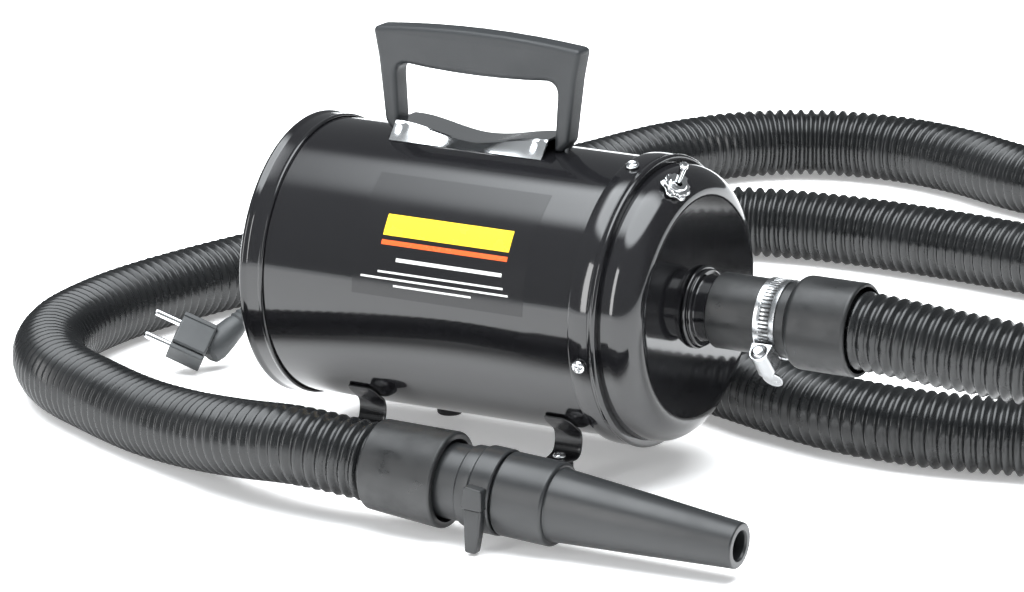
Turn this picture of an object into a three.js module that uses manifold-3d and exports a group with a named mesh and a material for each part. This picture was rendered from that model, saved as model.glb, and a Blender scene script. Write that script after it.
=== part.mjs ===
// A canister car dryer: a painted steel can on four feet, with a two-stage blower motor inside,
// a carrying handle, a toggle switch, a long corrugated hose with a nozzle, and a mains cord.
// Millimetres. +X runs along the can towards the air outlet, +Z is up and z = 0 is the floor.
// x = 0 is midway between the back of the rear cap and the rim of the outlet cuff.
import * as THREE from "three";
import { mergeVertices } from "three/addons/utils/BufferGeometryUtils.js";
import Module from "manifold-3d";

const wasm = await Module();
wasm.setup();

// ---- Driving dimensions ----

const gap = 0.3; // clearance between pieces that touch
const screwClearance = 0.4; // between a screw and the hole it passes through
const runningClearance = 0.4; // between a turning piece and what is round it

const bodyRadius = 89; // outside of the can
const sheet = 1.2; // steel of the can, caps and ring
const axisHeight = bodyRadius + 25; // axis of the can above the floor

const capDepth = 17; // skirt of the rear cap
const tubeShown = 222; // can between the rear cap and the front ring
const ringWidth = 19;
const ringLip = 3.8; // rolled front edge of the ring
const ringThickness = 3.7;
const domeDepth = 25; // front ring to the flat face of the dome
const domeCorner = 18;
const spudShown = 15; // flat face to the outlet cuff
const cuffNeck = 56; // thin part of the outlet cuff
const cuffSocket = 43; // wide part, which takes the hose

const intakeRadius = 58; // opening in the rear cap
const filterThickness = 8;

const spudRadius = 21;
const spudWall = 2.2;
const spudBead = 25.8;
const spudInsideCuff = 46;
const cuffWall = 2.7;
const socketRadius = 29.6;
const socketSlack = 2.2; // lets the hose droop inside its socket

const motorCaseRadius = 72.5;
const motorCaseLength = 58;
const motorFrameRadius = 48;
const motorFrameLength = 92;
const motorSetback = 60; // back of the rear cap to the fan case
const impellerRadius = motorCaseRadius - 6.5;
const shaftRadius = 4;
const armatureRadius = 20;
const statorRadius = 44;

const hoseRadius = 25;
const hoseBore = 19;

const gripTopHalf = 75.5;
const gripFootHalf = 65;
const openingTopHalf = 59;
const openingFootHalf = 57;
const gripHeight = bodyRadius + 67; // ends of the top bar above the axis of the can
const gripBow = 4; // rise of the top bar at the middle
const openingHeight = bodyRadius + 45.5; // top of the hand opening above the axis
const openingSag = 3;
const gripThickness = 17;
const gripChamfer = 2.5;
const bracketRidge = bodyRadius + 9; // ends of the chrome bracket above the axis of the can
const bracketDip = bodyRadius + 2; // its middle
const bracketTopHalf = 13;
const bracketFootHalf = 22;
const bracketSheet = 1.5;

const strapWidth = 20;
const strapThickness = 2;
const strapSpread = 43; // web of the strap, from the middle of the can
const flangeReach = 64; // outer edge of the strap
const boltSpread = 55;
const flangeHeight = 19.4; // top of the lower flange above the floor
const rubberFootRadius = 9;

const cordRadius = 4;
const coilCentre = [-264, 212];
const coilRadius = 60;
const coilHole = 32;
const coilHeight = 28;
const coilTurn = coilRadius - cordRadius; // middle of its outermost turn
const coilEntry = 31; // where the cord joins that turn, short of the coil's middle

const glandPlace = [35, 29 - bodyRadius]; // y, and z from the axis of the can
const plugPinLength = 19;
const plugPinRadius = 2.4;
const plugPinSpacing = 19;

// ---- Stations along the can ----

const overallLength = capDepth + tubeShown + ringWidth + domeDepth + spudShown + cuffNeck + cuffSocket;
const rearX = -overallLength / 2;
const seamX = rearX + capDepth;
const ringX = seamX + tubeShown;
const ringFrontX = ringX + ringWidth;
const handleX = seamX + tubeShown / 2 - 2; // middle of the handle
const footRearX = seamX + 53.5;
const footFrontX = ringX - 25.5;
const faceX = ringFrontX + domeDepth;
const cuffX = faceX + spudShown;
const socketX = cuffX + cuffNeck;
const cuffRimX = socketX + cuffSocket;
const socketFloorX = socketX + 5;
const tubeEndX = ringFrontX - ringLip - gap - sheet - 2 * gap;
const motorX = rearX + motorSetback;
const frameX = motorX + motorCaseLength + gap;
const frameEndX = frameX + motorFrameLength;

// ---- Materials ----

const paint = (color, roughness, metalness) => new THREE.MeshStandardMaterial({ color, roughness, metalness });
const glossBlack = paint(0x0b0b0c, 0.12, 0.2);
const strapBlack = paint(0x141414, 0.35, 0.3);
const chrome = paint(0xd8dadc, 0.12, 1);
const steel = paint(0xb5b7b9, 0.35, 1);
const castAluminium = paint(0x9a9c9e, 0.5, 1);
const lamination = paint(0x5b5d60, 0.5, 0.9);
const copper = paint(0xb87343, 0.4, 1);
const carbon = paint(0x222222, 0.8, 0.1);
const gripPlastic = paint(0x3f4244, 0.6, 0);
const blackRubber = paint(0x2b2d2f, 0.65, 0);
const hosePlastic = paint(0x1b1c1d, 0.35, 0);
const foam = paint(0x303030, 0.95, 0);
const moulding = paint(0x2e3032, 0.5, 0);

// ---- Geometry helpers ----

const canSides = 32;
const smallSides = 10;

// A closed solid of revolution about X from [along, radius] points, listed anticlockwise round
// the section or starting and ending on the axis.
function turned(points, segments = 20) {
  const profile = points.map(([along, radius]) => new THREE.Vector2(radius, along));
  const area = THREE.ShapeUtils.area(profile);
  if (area < 0) profile.reverse();
  const onAxis = profile[0].x === 0 && profile.at(-1).x === 0;
  if (!onAxis) profile.push(profile[0].clone());
  return new THREE.LatheGeometry(profile, segments).rotateZ(-Math.PI / 2);
}

const upright = (geometry) => geometry.rotateY(-Math.PI / 2); // from along X to along Z

const sleeve = (from, to, inner, outer, segments) =>
  turned([[from, inner], [from, outer], [to, outer], [to, inner]], segments);

const rod = (from, to, radius, segments) => turned([[from, 0], [from, radius], [to, radius], [to, 0]], segments);

function toSolid(geometry) {
  const bare = new THREE.BufferGeometry();
  bare.setAttribute("position", geometry.getAttribute("position"));
  bare.setIndex(geometry.index);
  const merged = mergeVertices(bare, 1e-4);
  return new wasm.Manifold(
    new wasm.Mesh({
      numProp: 3,
      vertProperties: new Float32Array(merged.attributes.position.array),
      triVerts: new Uint32Array(merged.index.array),
    }),
  );
}

function fromSolid(solid) {
  const mesh = solid.getMesh();
  const geometry = new THREE.BufferGeometry();
  geometry.setAttribute("position", new THREE.BufferAttribute(new Float32Array(mesh.vertProperties), 3));
  geometry.setIndex(new THREE.BufferAttribute(new Uint32Array(mesh.triVerts), 1));
  geometry.computeVertexNormals();
  return geometry;
}

const cut = (body, ...tools) => fromSolid(tools.reduce((left, tool) => left.subtract(toSolid(tool)), toSolid(body)));

const join = (body, ...others) => fromSolid(others.reduce((sum, other) => sum.add(toSolid(other)), toSolid(body)));

const shapeOf = (points) => new THREE.Shape(points.map(([x, y]) => new THREE.Vector2(x, y)));

const prism = (shape, depth) => new THREE.ExtrudeGeometry(shape, { depth, bevelEnabled: false, curveSegments: 6 });

// Points of an arc about a centre, from one angle to another, in degrees.
function arc(centre, radius, from, to, steps) {
  return Array.from({ length: steps + 1 }, (_, i) => {
    const angle = THREE.MathUtils.degToRad(from + ((to - from) * i) / steps);
    return [centre[0] + radius * Math.cos(angle), centre[1] + radius * Math.sin(angle)];
  });
}

// The outline of a bent strip, from the middle line of its section.
function stripOutline(line, thickness) {
  const points = line.map(([x, y]) => new THREE.Vector2(x, y));
  const side = (sign) =>
    points.map((point, i) => {
      const before = point.clone().sub(points[Math.max(i - 1, 0)]).normalize();
      const after = points[Math.min(i + 1, points.length - 1)].clone().sub(point).normalize();
      const direction = before.add(after).normalize();
      const along = i === 0 ? after : point.clone().sub(points[i - 1]).normalize();
      const mitre = thickness / 2 / Math.max(direction.dot(along), 0.5);
      return [point.x - sign * direction.y * mitre, point.y + sign * direction.x * mitre];
    });
  return [...side(1), ...side(-1).reverse()];
}

// A tube of round section along a free route.
function cordTube(route, radius, sides, steps) {
  const path = new THREE.CatmullRomCurve3(route.map((point) => new THREE.Vector3(...point)), false, "centripetal");
  const section = shapeOf(arc([0, 0], radius, 0, 360 - 360 / sides, sides - 1));
  return new THREE.ExtrudeGeometry(section, { steps, extrudePath: path, bevelEnabled: false });
}

const dryer = new THREE.Group();
const can = new THREE.Group(); // everything measured from the axis of the can
can.position.z = axisHeight;
dryer.add(can);

function place(name, geometry, material, parent = can) {
  const mesh = new THREE.Mesh(geometry, material);
  mesh.name = name;
  parent.add(mesh);
  return mesh;
}

// A cross recess for the head of a screw whose head points along +X and ends at the given station.
function crossRecess(top, size, depth) {
  const blade = (wide, high) => new THREE.BoxGeometry(2 * depth, wide, high).translate(top, 0, 0);
  return join(blade(size, size / 4), blade(size / 4, size));
}

// A pan-head screw along X: the head sits on x = 0 and the shank runs to -length.
function panScrew(headRadius, headHeight, shankRadius, length) {
  return turned(
    [
      [-length, 0],
      [-length, shankRadius],
      [0, shankRadius],
      [0, headRadius],
      [headHeight * 0.4, headRadius],
      [headHeight, headRadius * 0.6],
      [headHeight, 0],
    ],
    smallSides,
  );
}

// ---- The can ----

const ringScrewRadius = 2;
const ringScrewX = ringX + ringWidth * 0.4;
const ringScrewAngles = [13.5, 103.5, 193.5, 283.5]; // from +Y towards +Z
const handleScrewRadius = 2;
const handleScrewOffset = (gripFootHalf + openingFootHalf) / 2;

// A radial hole through the can wall. The angle is measured from +Y towards +Z.
function radialHole(x, angle, radius) {
  const reach = 2 * ringThickness + 2 * sheet + 4;
  const bit = new THREE.CylinderGeometry(radius, radius, 2 * reach, 8);
  bit.translate(0, bodyRadius, 0);
  return bit.rotateX(THREE.MathUtils.degToRad(angle)).translate(x, 0, 0);
}

function addShell() {
  const tube = sleeve(rearX + sheet + gap, tubeEndX, bodyRadius - sheet, bodyRadius, canSides);
  const holes = ringScrewAngles.map((angle) => radialHole(ringScrewX, angle, ringScrewRadius + screwClearance));
  for (const side of [-1, 1]) {
    holes.push(radialHole(handleX + side * handleScrewOffset, 90, handleScrewRadius + screwClearance));
  }
  place("body_shell", cut(tube, ...holes), glossBlack);
}

const glandRadius = 6;

function addRearCap() {
  const inner = bodyRadius + gap;
  const outer = inner + sheet;
  const bead = 1.2;
  const cap = turned(
    [
      [rearX, intakeRadius],
      [rearX, outer - 1],
      [rearX + 1, outer + bead],
      [rearX + 3, outer + bead],
      [rearX + 4, outer],
      [seamX, outer],
      [seamX, inner],
      [rearX + sheet, inner],
      [rearX + sheet, intakeRadius],
    ],
    canSides,
  );
  const glandHole = rod(rearX - 1, rearX + sheet + 1, glandRadius + gap, 24).translate(0, ...glandPlace);
  place("rear_cap", cut(cap, glandHole), glossBlack);
}

function addIntake() {
  const grilleX = rearX + sheet + gap;
  const grilleThickness = 2.5;
  const rim = sleeve(grilleX, grilleX + grilleThickness, intakeRadius - 7, intakeRadius + 5);
  const rings = [15, 29, 43].map((radius) => sleeve(grilleX, grilleX + grilleThickness, radius, radius + 4, 16));
  const spoke = new THREE.BoxGeometry(grilleThickness, 2 * intakeRadius - 6, 3.5);
  spoke.translate(grilleX + grilleThickness / 2, 0, 0);
  place("intake_grille", join(rim, ...rings, spoke, spoke.clone().rotateX(Math.PI / 2)), strapBlack);

  const filterX = grilleX + grilleThickness + gap;
  place("intake_filter", rod(filterX, filterX + filterThickness, intakeRadius + 3), foam);
}

function addFrontRing() {
  const inner = bodyRadius + gap;
  const outer = bodyRadius + ringThickness;
  const lipInner = bodyRadius - 1;
  const ring = turned(
    [
      [ringX, inner],
      [ringX, outer - 0.6],
      [ringX + 0.6, outer],
      [ringFrontX - 1.5, outer],
      [ringFrontX, outer - 1.5],
      [ringFrontX, lipInner],
      [ringFrontX - ringLip, lipInner],
      [ringFrontX - ringLip, inner],
    ],
    canSides,
  );
  const holes = ringScrewAngles.map((angle) => radialHole(ringScrewX, angle, ringScrewRadius + screwClearance));
  place("front_ring", cut(ring, ...holes), glossBlack);

  const headRadius = 4.4;
  const headHeight = 2.8;
  ringScrewAngles.forEach((angle, i) => {
    const plain = panScrew(headRadius, headHeight, ringScrewRadius, 9);
    const crossed = cut(plain, crossRecess(headHeight, headRadius * 1.1, headHeight / 2));
    const screw = place(`ring_screw_${i + 1}`, crossed, chrome);
    const turn = THREE.MathUtils.degToRad(angle);
    const reach = outer + gap;
    screw.position.set(ringScrewX, reach * Math.cos(turn), reach * Math.sin(turn));
    screw.quaternion.setFromUnitVectors(
      new THREE.Vector3(1, 0, 0),
      new THREE.Vector3(0, Math.cos(turn), Math.sin(turn)),
    );
  });
}

const domeRadius = bodyRadius - 1 - gap;

// ---- Toggle switch, on the rounded shoulder of the dome ----

const toggleAngle = 106; // from +Y towards +Z
const toggleSlope = 40; // lean of the switch from straight out towards the outlet
const toggleThrow = 14; // lean of the lever each side of its middle
const bushRadius = 6;

// The frame of the switch: its local +X points straight out of the shoulder, from the dome's surface.
function togglePlace() {
  const slope = THREE.MathUtils.degToRad(toggleSlope);
  const centreX = faceX - domeCorner;
  const centreRadius = domeRadius - domeCorner;
  const group = new THREE.Group();
  const turn = new THREE.Group();
  turn.rotation.x = THREE.MathUtils.degToRad(toggleAngle);
  group.add(turn);
  const seat = new THREE.Group();
  seat.position.set(centreX + domeCorner * Math.sin(slope), centreRadius + domeCorner * Math.cos(slope), 0);
  seat.rotation.z = Math.PI / 2 - slope;
  turn.add(seat);
  can.add(group);
  group.updateMatrixWorld(true);
  return seat;
}

const toggleSeat = togglePlace();

function addDome() {
  const flange = bodyRadius;
  const wall = 1.5;
  const flangeX = ringFrontX - ringLip - gap - sheet;
  const centre = [faceX - domeCorner, domeRadius - domeCorner];
  const dome = turned(
    [
      [faceX, spudRadius + gap],
      ...arc(centre, domeCorner, 0, 90, 4),
      [flangeX + sheet, domeRadius],
      [flangeX + sheet, flange],
      [flangeX, flange],
      [flangeX, domeRadius - wall],
      ...arc(centre, domeCorner - wall, 90, 0, 2),
      [faceX - wall, spudRadius + gap],
    ],
    canSides,
  );
  toggleSeat.updateWorldMatrix(true, false);
  const bushHole = rod(-8, 8, bushRadius + gap, 20).applyMatrix4(toggleSeat.matrixWorld);
  bushHole.translate(0, 0, -axisHeight);
  place("front_dome", cut(dome, bushHole), glossBlack);
}

function addToggle() {
  const bushOut = 6;
  const nutX = 2.2;
  const nutThickness = 2.6;
  const pivotX = 3;
  const ballRadius = 2.4;
  const leverLength = 15;
  const box = new THREE.BoxGeometry(15, 16, 13).translate(-14, 0, 0);
  const bush = rod(-8, bushOut, bushRadius, 20);
  const well = turned([[pivotX - 3, 0], [pivotX - 3, 4.4], [bushOut + 1, 4.4], [bushOut + 1, 0]], 20);
  place("switch_body", cut(join(box, bush), well), castAluminium, toggleSeat);

  const washer = sleeve(1.0, 1.0 + 0.9, bushRadius + gap, 10, 24);
  const key = new THREE.BoxGeometry(0.9, 5, 5).translate(1.45, 0, -11);
  place("switch_washer", join(washer, key), chrome, toggleSeat);

  const nut = rod(nutX, nutX + nutThickness, 9, 6);
  const bore = rod(nutX - 1, nutX + nutThickness + 1, bushRadius + gap, 20);
  place("switch_nut", cut(nut, bore), chrome, toggleSeat);

  const ballX = leverLength + ballRadius - 0.6;
  const bat = turned([[-1.6, 0], [-1.6, 1.3], [leverLength - 1, 1.6], ...arc([ballX, 0], ballRadius, 140, 0, 5)], 16);
  const pivot = new THREE.Group();
  pivot.position.x = pivotX;
  pivot.rotation.z = THREE.MathUtils.degToRad(toggleThrow);
  toggleSeat.add(pivot);
  place("switch_lever", bat, chrome, pivot);
}

// ---- Motor and its two-stage blower ----

function addMotor() {
  const caseWall = 1.2;
  const inletRadius = 27;
  const gasketThickness = 4;
  const bulkhead = bodyRadius - sheet - gap;
  const motorEndX = motorX + motorCaseLength;

  const gasketX = motorX - gap - gasketThickness;
  place("mount_gasket", sleeve(gasketX, motorX - gap, inletRadius + 6, bulkhead, canSides), blackRubber);

  const caseIn = motorCaseRadius - caseWall;
  const fanCase = turned([
    [motorX, inletRadius],
    [motorX, motorCaseRadius],
    [motorEndX, motorCaseRadius],
    [motorEndX, 30],
    [motorEndX - caseWall, 30],
    [motorEndX - caseWall, caseIn],
    [motorX + caseWall, caseIn],
    [motorX + caseWall, inletRadius],
  ]);
  place("fan_case", fanCase, steel);

  const diffuserX = motorX + motorCaseLength / 2;
  const diffuserHalf = 2;
  const diffuser = sleeve(diffuserX - diffuserHalf, diffuserX + diffuserHalf, 16, caseIn - gap);
  place("fan_diffuser", diffuser, castAluminium);

  const stageLength = motorCaseLength / 2 - caseWall - diffuserHalf - 2 * gap - 4;
  addImpeller("impeller_first", motorX + caseWall + gap + 2, stageLength);
  addImpeller("impeller_second", diffuserX + diffuserHalf + gap + 2, stageLength);

  const frameWall = 2.5;
  const frameIn = motorFrameRadius - frameWall;
  const bearingRadius = 12;
  const frame = turned([
    [frameX, bearingRadius],
    [frameX, motorCaseRadius - 12],
    [frameX + frameWall, motorCaseRadius - 12],
    [frameX + frameWall, motorFrameRadius],
    [frameEndX, motorFrameRadius],
    [frameEndX, shaftRadius + runningClearance],
    [frameEndX - 8, shaftRadius + runningClearance],
    [frameEndX - 8, bearingRadius],
    [frameEndX - 3, bearingRadius + 4],
    [frameEndX - 3, frameIn],
    [frameX + frameWall, frameIn],
    [frameX + frameWall, bearingRadius],
  ]);
  const window = new THREE.BoxGeometry(22, 24, 3 * motorFrameRadius).translate(frameEndX - 22, 0, 0);
  place("motor_frame", cut(frame, window, window.clone().rotateX(Math.PI / 2)), castAluminium);

  const coreX = frameX + 22;
  const coreLength = 36;
  const stator = turned([
    [coreX, armatureRadius + 1],
    [coreX - 10, armatureRadius + 5],
    [coreX - 10, statorRadius - 8],
    [coreX, statorRadius - 6],
    [coreX, statorRadius],
    [coreX + coreLength, statorRadius],
    [coreX + coreLength, statorRadius - 6],
    [coreX + coreLength + 10, statorRadius - 8],
    [coreX + coreLength + 10, armatureRadius + 5],
    [coreX + coreLength, armatureRadius + 1],
  ]);
  place("stator_core", stator, lamination);

  place("motor_shaft", rod(motorX + 4, frameEndX - 1, shaftRadius, smallSides), steel);
  place("armature_core", sleeve(coreX, coreX + coreLength, shaftRadius + gap, armatureRadius, 20), lamination);
  const commutatorX = coreX + coreLength + 8;
  const commutatorRadius = 11;
  place("commutator", sleeve(commutatorX, commutatorX + 14, shaftRadius + gap, commutatorRadius, 16), copper);

  const brushLength = 20;
  for (const [name, side] of [["brush_upper", 1], ["brush_lower", -1]]) {
    const brush = new THREE.BoxGeometry(7, 6, brushLength);
    const middle = commutatorRadius + gap + brushLength / 2;
    place(name, brush.translate(commutatorX + 7, 0, side * middle), carbon);
  }

  const spiderX = frameEndX + gap;
  const hub = sleeve(spiderX, spiderX + 3, 14, 30, 20);
  const armLength = bulkhead - 24;
  const arms = [0, 120, 240].map((angle) => {
    const arm = new THREE.BoxGeometry(3, 16, armLength).translate(spiderX + 1.5, 0, 24 + armLength / 2 - 1);
    return arm.rotateX(THREE.MathUtils.degToRad(angle + 60));
  });
  place("motor_spider", join(hub, ...arms), steel);
}

// Two shrouds with straight vanes between them, round a hub on the shaft.
function addImpeller(name, x, length) {
  const shroud = 1.5;
  const eyeRadius = 24;
  const hubRadius = 10;
  const vaneCount = 6;
  const back = sleeve(x + length - shroud, x + length, shaftRadius + gap, impellerRadius);
  const front = sleeve(x, x + shroud, eyeRadius, impellerRadius);
  const hub = sleeve(x + 4, x + length, shaftRadius + gap, hubRadius, smallSides);
  const vaneLength = impellerRadius - eyeRadius - 2;
  const vanes = Array.from({ length: vaneCount }, (_, i) => {
    const vane = new THREE.BoxGeometry(length - 0.5, 1.5, vaneLength);
    vane.rotateX(-0.5).translate(x + length / 2, 0, eyeRadius + vaneLength / 2 - 2);
    return vane.rotateX((2 * Math.PI * i) / vaneCount);
  });
  place(name, join(back, front, hub, ...vanes), castAluminium);
}

// ---- Handle ----

function addHandle() {
  const handle = new THREE.Group();
  handle.position.x = handleX;
  can.add(handle);

  const foot = bodyRadius + gap;
  const footRound = 8;
  const cornerRound = 6;
  const shape = new THREE.Shape();
  const leanAt = (height) => gripFootHalf + ((gripTopHalf - gripFootHalf) * (height - foot)) / (gripHeight - foot);
  shape.moveTo(-gripTopHalf, gripHeight);
  shape.quadraticCurveTo(0, gripHeight + 2 * gripBow, gripTopHalf, gripHeight);
  shape.lineTo(leanAt(foot + footRound), foot + footRound);
  shape.quadraticCurveTo(gripFootHalf, foot, gripFootHalf - footRound / 2, foot);
  shape.lineTo(openingFootHalf, foot);
  shape.lineTo(openingTopHalf, openingHeight - cornerRound);
  shape.quadraticCurveTo(openingTopHalf, openingHeight, openingTopHalf - cornerRound, openingHeight);
  shape.quadraticCurveTo(0, openingHeight - 2 * openingSag, cornerRound - openingTopHalf, openingHeight);
  shape.quadraticCurveTo(-openingTopHalf, openingHeight, -openingTopHalf, openingHeight - cornerRound);
  shape.lineTo(-openingFootHalf, foot);
  shape.lineTo(footRound / 2 - gripFootHalf, foot);
  shape.quadraticCurveTo(-gripFootHalf, foot, -leanAt(foot + footRound), foot + footRound);

  const grip = new THREE.ExtrudeGeometry(shape, {
    depth: gripThickness - 2 * gripChamfer,
    bevelSize: gripChamfer,
    bevelOffset: -gripChamfer,
    bevelThickness: gripChamfer,
    bevelSegments: 1,
    curveSegments: 8,
  });
  grip.rotateX(Math.PI / 2).translate(0, gripThickness / 2 - gripChamfer, 0);
  const holes = [-1, 1].map((side) => {
    const hole = upright(rod(foot - 1, foot + 18, handleScrewRadius + gap, 16));
    return hole.translate(side * handleScrewOffset, 0, 0);
  });
  place("handle_grip", cut(grip, ...holes), gripPlastic, handle);

  const screwHead = bodyRadius - sheet - 2 * gap;
  for (const [name, side] of [["handle_screw_rear", -1], ["handle_screw_front", 1]]) {
    const screw = place(name, panScrew(3.6, 2.4, handleScrewRadius, 16), chrome, handle);
    screw.rotation.y = Math.PI / 2;
    screw.position.set(side * handleScrewOffset, 0, screwHead);
  }

  place("handle_bracket", bracketShell(), chrome, handle);
}

// The chrome saddle between the legs: a channel with splayed sides whose top dips in the middle.
function bracketShell() {
  const half = openingFootHalf - gap - gripChamfer / 2;
  const stations = 8;
  const foot = bodyRadius + gap - (bracketFootHalf - bracketSheet) ** 2 / (2 * bodyRadius) + 0.1;
  const rings = [];
  for (let i = 0; i <= stations; i += 1) {
    const along = (2 * i) / stations - 1;
    const dip = 0.5 + 0.5 * Math.cos(Math.PI * along);
    const ridge = bracketRidge - (bracketRidge - bracketDip) * dip;
    const section = [
      [-bracketFootHalf, foot],
      [-bracketTopHalf, ridge],
      [bracketTopHalf, ridge],
      [bracketFootHalf, foot],
      [bracketFootHalf - bracketSheet, foot],
      [bracketTopHalf - bracketSheet / 2, ridge - bracketSheet],
      [-bracketTopHalf + bracketSheet / 2, ridge - bracketSheet],
      [-bracketFootHalf + bracketSheet, foot],
    ];
    rings.push(section.map(([y, z]) => [along * half, y, z]));
  }
  return loft(rings);
}

// A closed solid through a row of sections that all have the same number of points.
function loft(rings) {
  const count = rings[0].length;
  const positions = rings.flat(2);
  const faces = [];
  for (let i = 0; i + 1 < rings.length; i += 1) {
    for (let j = 0; j < count; j += 1) {
      const a = i * count + j;
      const b = i * count + ((j + 1) % count);
      faces.push(a, b + count, b, a, a + count, b + count);
    }
  }
  const flat = rings[0].map(([, y, z]) => new THREE.Vector2(y, z));
  const last = (rings.length - 1) * count;
  const turning = Math.sign(THREE.ShapeUtils.area(flat));
  for (const [a, b, c] of THREE.ShapeUtils.triangulateShape(flat, [])) {
    const sameWay = Math.sign(THREE.ShapeUtils.area([flat[a], flat[b], flat[c]])) === turning;
    const [p, q] = sameWay ? [b, c] : [c, b];
    faces.push(a, p, q, last + a, last + q, last + p);
  }
  const geometry = new THREE.BufferGeometry();
  geometry.setAttribute("position", new THREE.Float32BufferAttribute(positions, 3));
  geometry.setIndex(faces);
  const flipped = toSolid(geometry).volume() < 0;
  if (flipped) geometry.setIndex(faces.map((_, i) => faces[i - (i % 3) + [0, 2, 1][i % 3]]));
  geometry.computeVertexNormals();
  return geometry;
}

// ---- Feet ----

function addFeet() {
  const boltRadius = 2.2;
  const hug = bodyRadius + gap + strapThickness / 2;
  const onBody = (spread) => [spread, axisHeight - Math.sqrt(hug ** 2 - spread ** 2)];
  const flangeLine = flangeHeight - strapThickness / 2;
  const line = [
    onBody(flangeReach - 3),
    onBody((flangeReach + strapSpread) / 2),
    onBody(strapSpread + 2),
    [strapSpread, onBody(strapSpread)[1] - 3],
    [strapSpread + 1, flangeLine + 4],
    [strapSpread + 4, flangeLine],
    [flangeReach, flangeLine],
  ];
  const footHeight = flangeHeight - strapThickness - gap;
  for (const [end, x] of [["rear", footRearX], ["front", footFrontX]]) {
    for (const [sideName, side] of [["near", -1], ["far", 1]]) {
      const foot = new THREE.Group();
      foot.position.x = x;
      foot.scale.y = side;
      dryer.add(foot);
      const name = `${end}_${sideName}`;

      const strap = prism(shapeOf(stripOutline(line, strapThickness)), strapWidth);
      strap.rotateX(Math.PI / 2).rotateZ(Math.PI / 2).translate(-strapWidth / 2, 0, 0);
      const hole = upright(rod(0, flangeHeight + 2, boltRadius + screwClearance, smallSides)).translate(0, boltSpread, 0);
      place(`foot_strap_${name}`, cut(strap, hole), strapBlack, foot);

      const pad = turned(
        [
          [0, 0],
          [0, rubberFootRadius - 1],
          [footHeight, rubberFootRadius],
          [footHeight, boltRadius + screwClearance],
          [4, boltRadius + screwClearance],
          [4, 0],
        ],
        smallSides,
      );
      place(`rubber_foot_${name}`, upright(pad).translate(0, boltSpread, 0), blackRubber, foot);

      const screw = place(`foot_screw_${name}`, panScrew(4.2, 2.6, boltRadius, flangeHeight - 6), chrome, foot);
      screw.rotation.y = -Math.PI / 2;
      screw.position.set(0, boltSpread, flangeHeight + gap);
    }
  }
}

// ---- Outlet spud, cuff and worm clamp ----

function addOutlet() {
  const inner = spudRadius - spudWall;
  const beadX = faceX + gap;
  const neckX = faceX - 6;
  const spud = turned([
    [neckX, inner],
    [neckX, spudRadius],
    [beadX, spudRadius],
    [beadX, spudBead],
    [beadX + 3, spudBead + 0.6],
    [beadX + 5, spudRadius + 1],
    [cuffX, spudRadius],
    [cuffX + spudInsideCuff, spudRadius],
    [cuffX + spudInsideCuff, inner],
  ]);
  place("outlet_spud", spud, glossBlack);

  const neckBore = spudRadius + gap;
  const neckRadius = neckBore + cuffWall;
  const socketBore = hoseRadius + socketSlack;
  const shoulder = 4;
  const cuff = turned([
    [cuffX, neckBore],
    [cuffX, neckRadius - 1],
    [cuffX + 1, neckRadius],
    [socketX, neckRadius],
    ...arc([socketX + shoulder, socketRadius - shoulder], shoulder, 180, 90, 3),
    [cuffRimX - 1, socketRadius],
    [cuffRimX, socketRadius - 1],
    [cuffRimX, socketBore],
    [socketFloorX, socketBore],
    [socketFloorX, hoseBore],
    [socketX - 2, hoseBore],
    [socketX - 2, neckBore],
  ]);
  place("outlet_cuff", cuff, blackRubber);
  addClamp(neckRadius);
}

const clampWidth = 14.2;
const clampOffset = 42; // from the end of the cuff
const clampAngle = 222; // of the worm housing, from +Y towards +Z
const wormRadius = 4.8;
const wormSeat = 1.6; // housing floor under the worm

function addClamp(neckRadius) {
  const band = 0.9;
  const clampX = cuffX + clampOffset;
  const bandIn = neckRadius + gap;
  const bandOut = bandIn + band;
  place("clamp_band", sleeve(clampX - clampWidth / 2, clampX + clampWidth / 2, bandIn, bandOut), steel);

  // The housing's own +Y points away from the can's axis, and its +Z runs along the worm.
  const seat = new THREE.Group();
  seat.position.x = clampX;
  seat.rotation.x = THREE.MathUtils.degToRad(clampAngle);
  can.add(seat);
  const housing = new THREE.Group();
  housing.position.y = bandOut + gap + wormRadius + wormSeat;
  seat.add(housing);

  const wall = 1.2;
  const housingHalf = 9.5;
  const bore = wormRadius + runningClearance;
  const outer = bore + wall;
  const base = -wormRadius - wormSeat;
  const arch = shapeOf([
    [-outer, base],
    [outer, base],
    ...arc([0, 0], outer, 0, 180, 8),
  ]);
  arch.holes.push(new THREE.Path(arc([0, 0], bore, 0, 330, 11).map(([x, y]) => new THREE.Vector2(x, y))));
  place("clamp_housing", prism(arch, 2 * housingHalf).translate(0, 0, -housingHalf), steel, housing);

  const keyWidth = 14;
  const keyLength = 15;
  const keyThickness = 1.6;
  const neckLength = 8;
  const thread = upright(rod(-housingHalf - 2, housingHalf + 2, wormRadius, smallSides));
  const neck = upright(rod(housingHalf + 1, housingHalf + neckLength, 2.6, smallSides));
  const key = new THREE.CylinderGeometry(keyWidth / 2, keyWidth / 2, keyThickness, 16);
  key.scale(1, 1, keyLength / keyWidth).translate(0, 0, housingHalf + neckLength - 2 + keyLength / 2);
  place("clamp_screw", join(thread, neck, key), steel, housing);
}

// ---- Air hose, cuff, locking collar and nozzle ----

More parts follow.
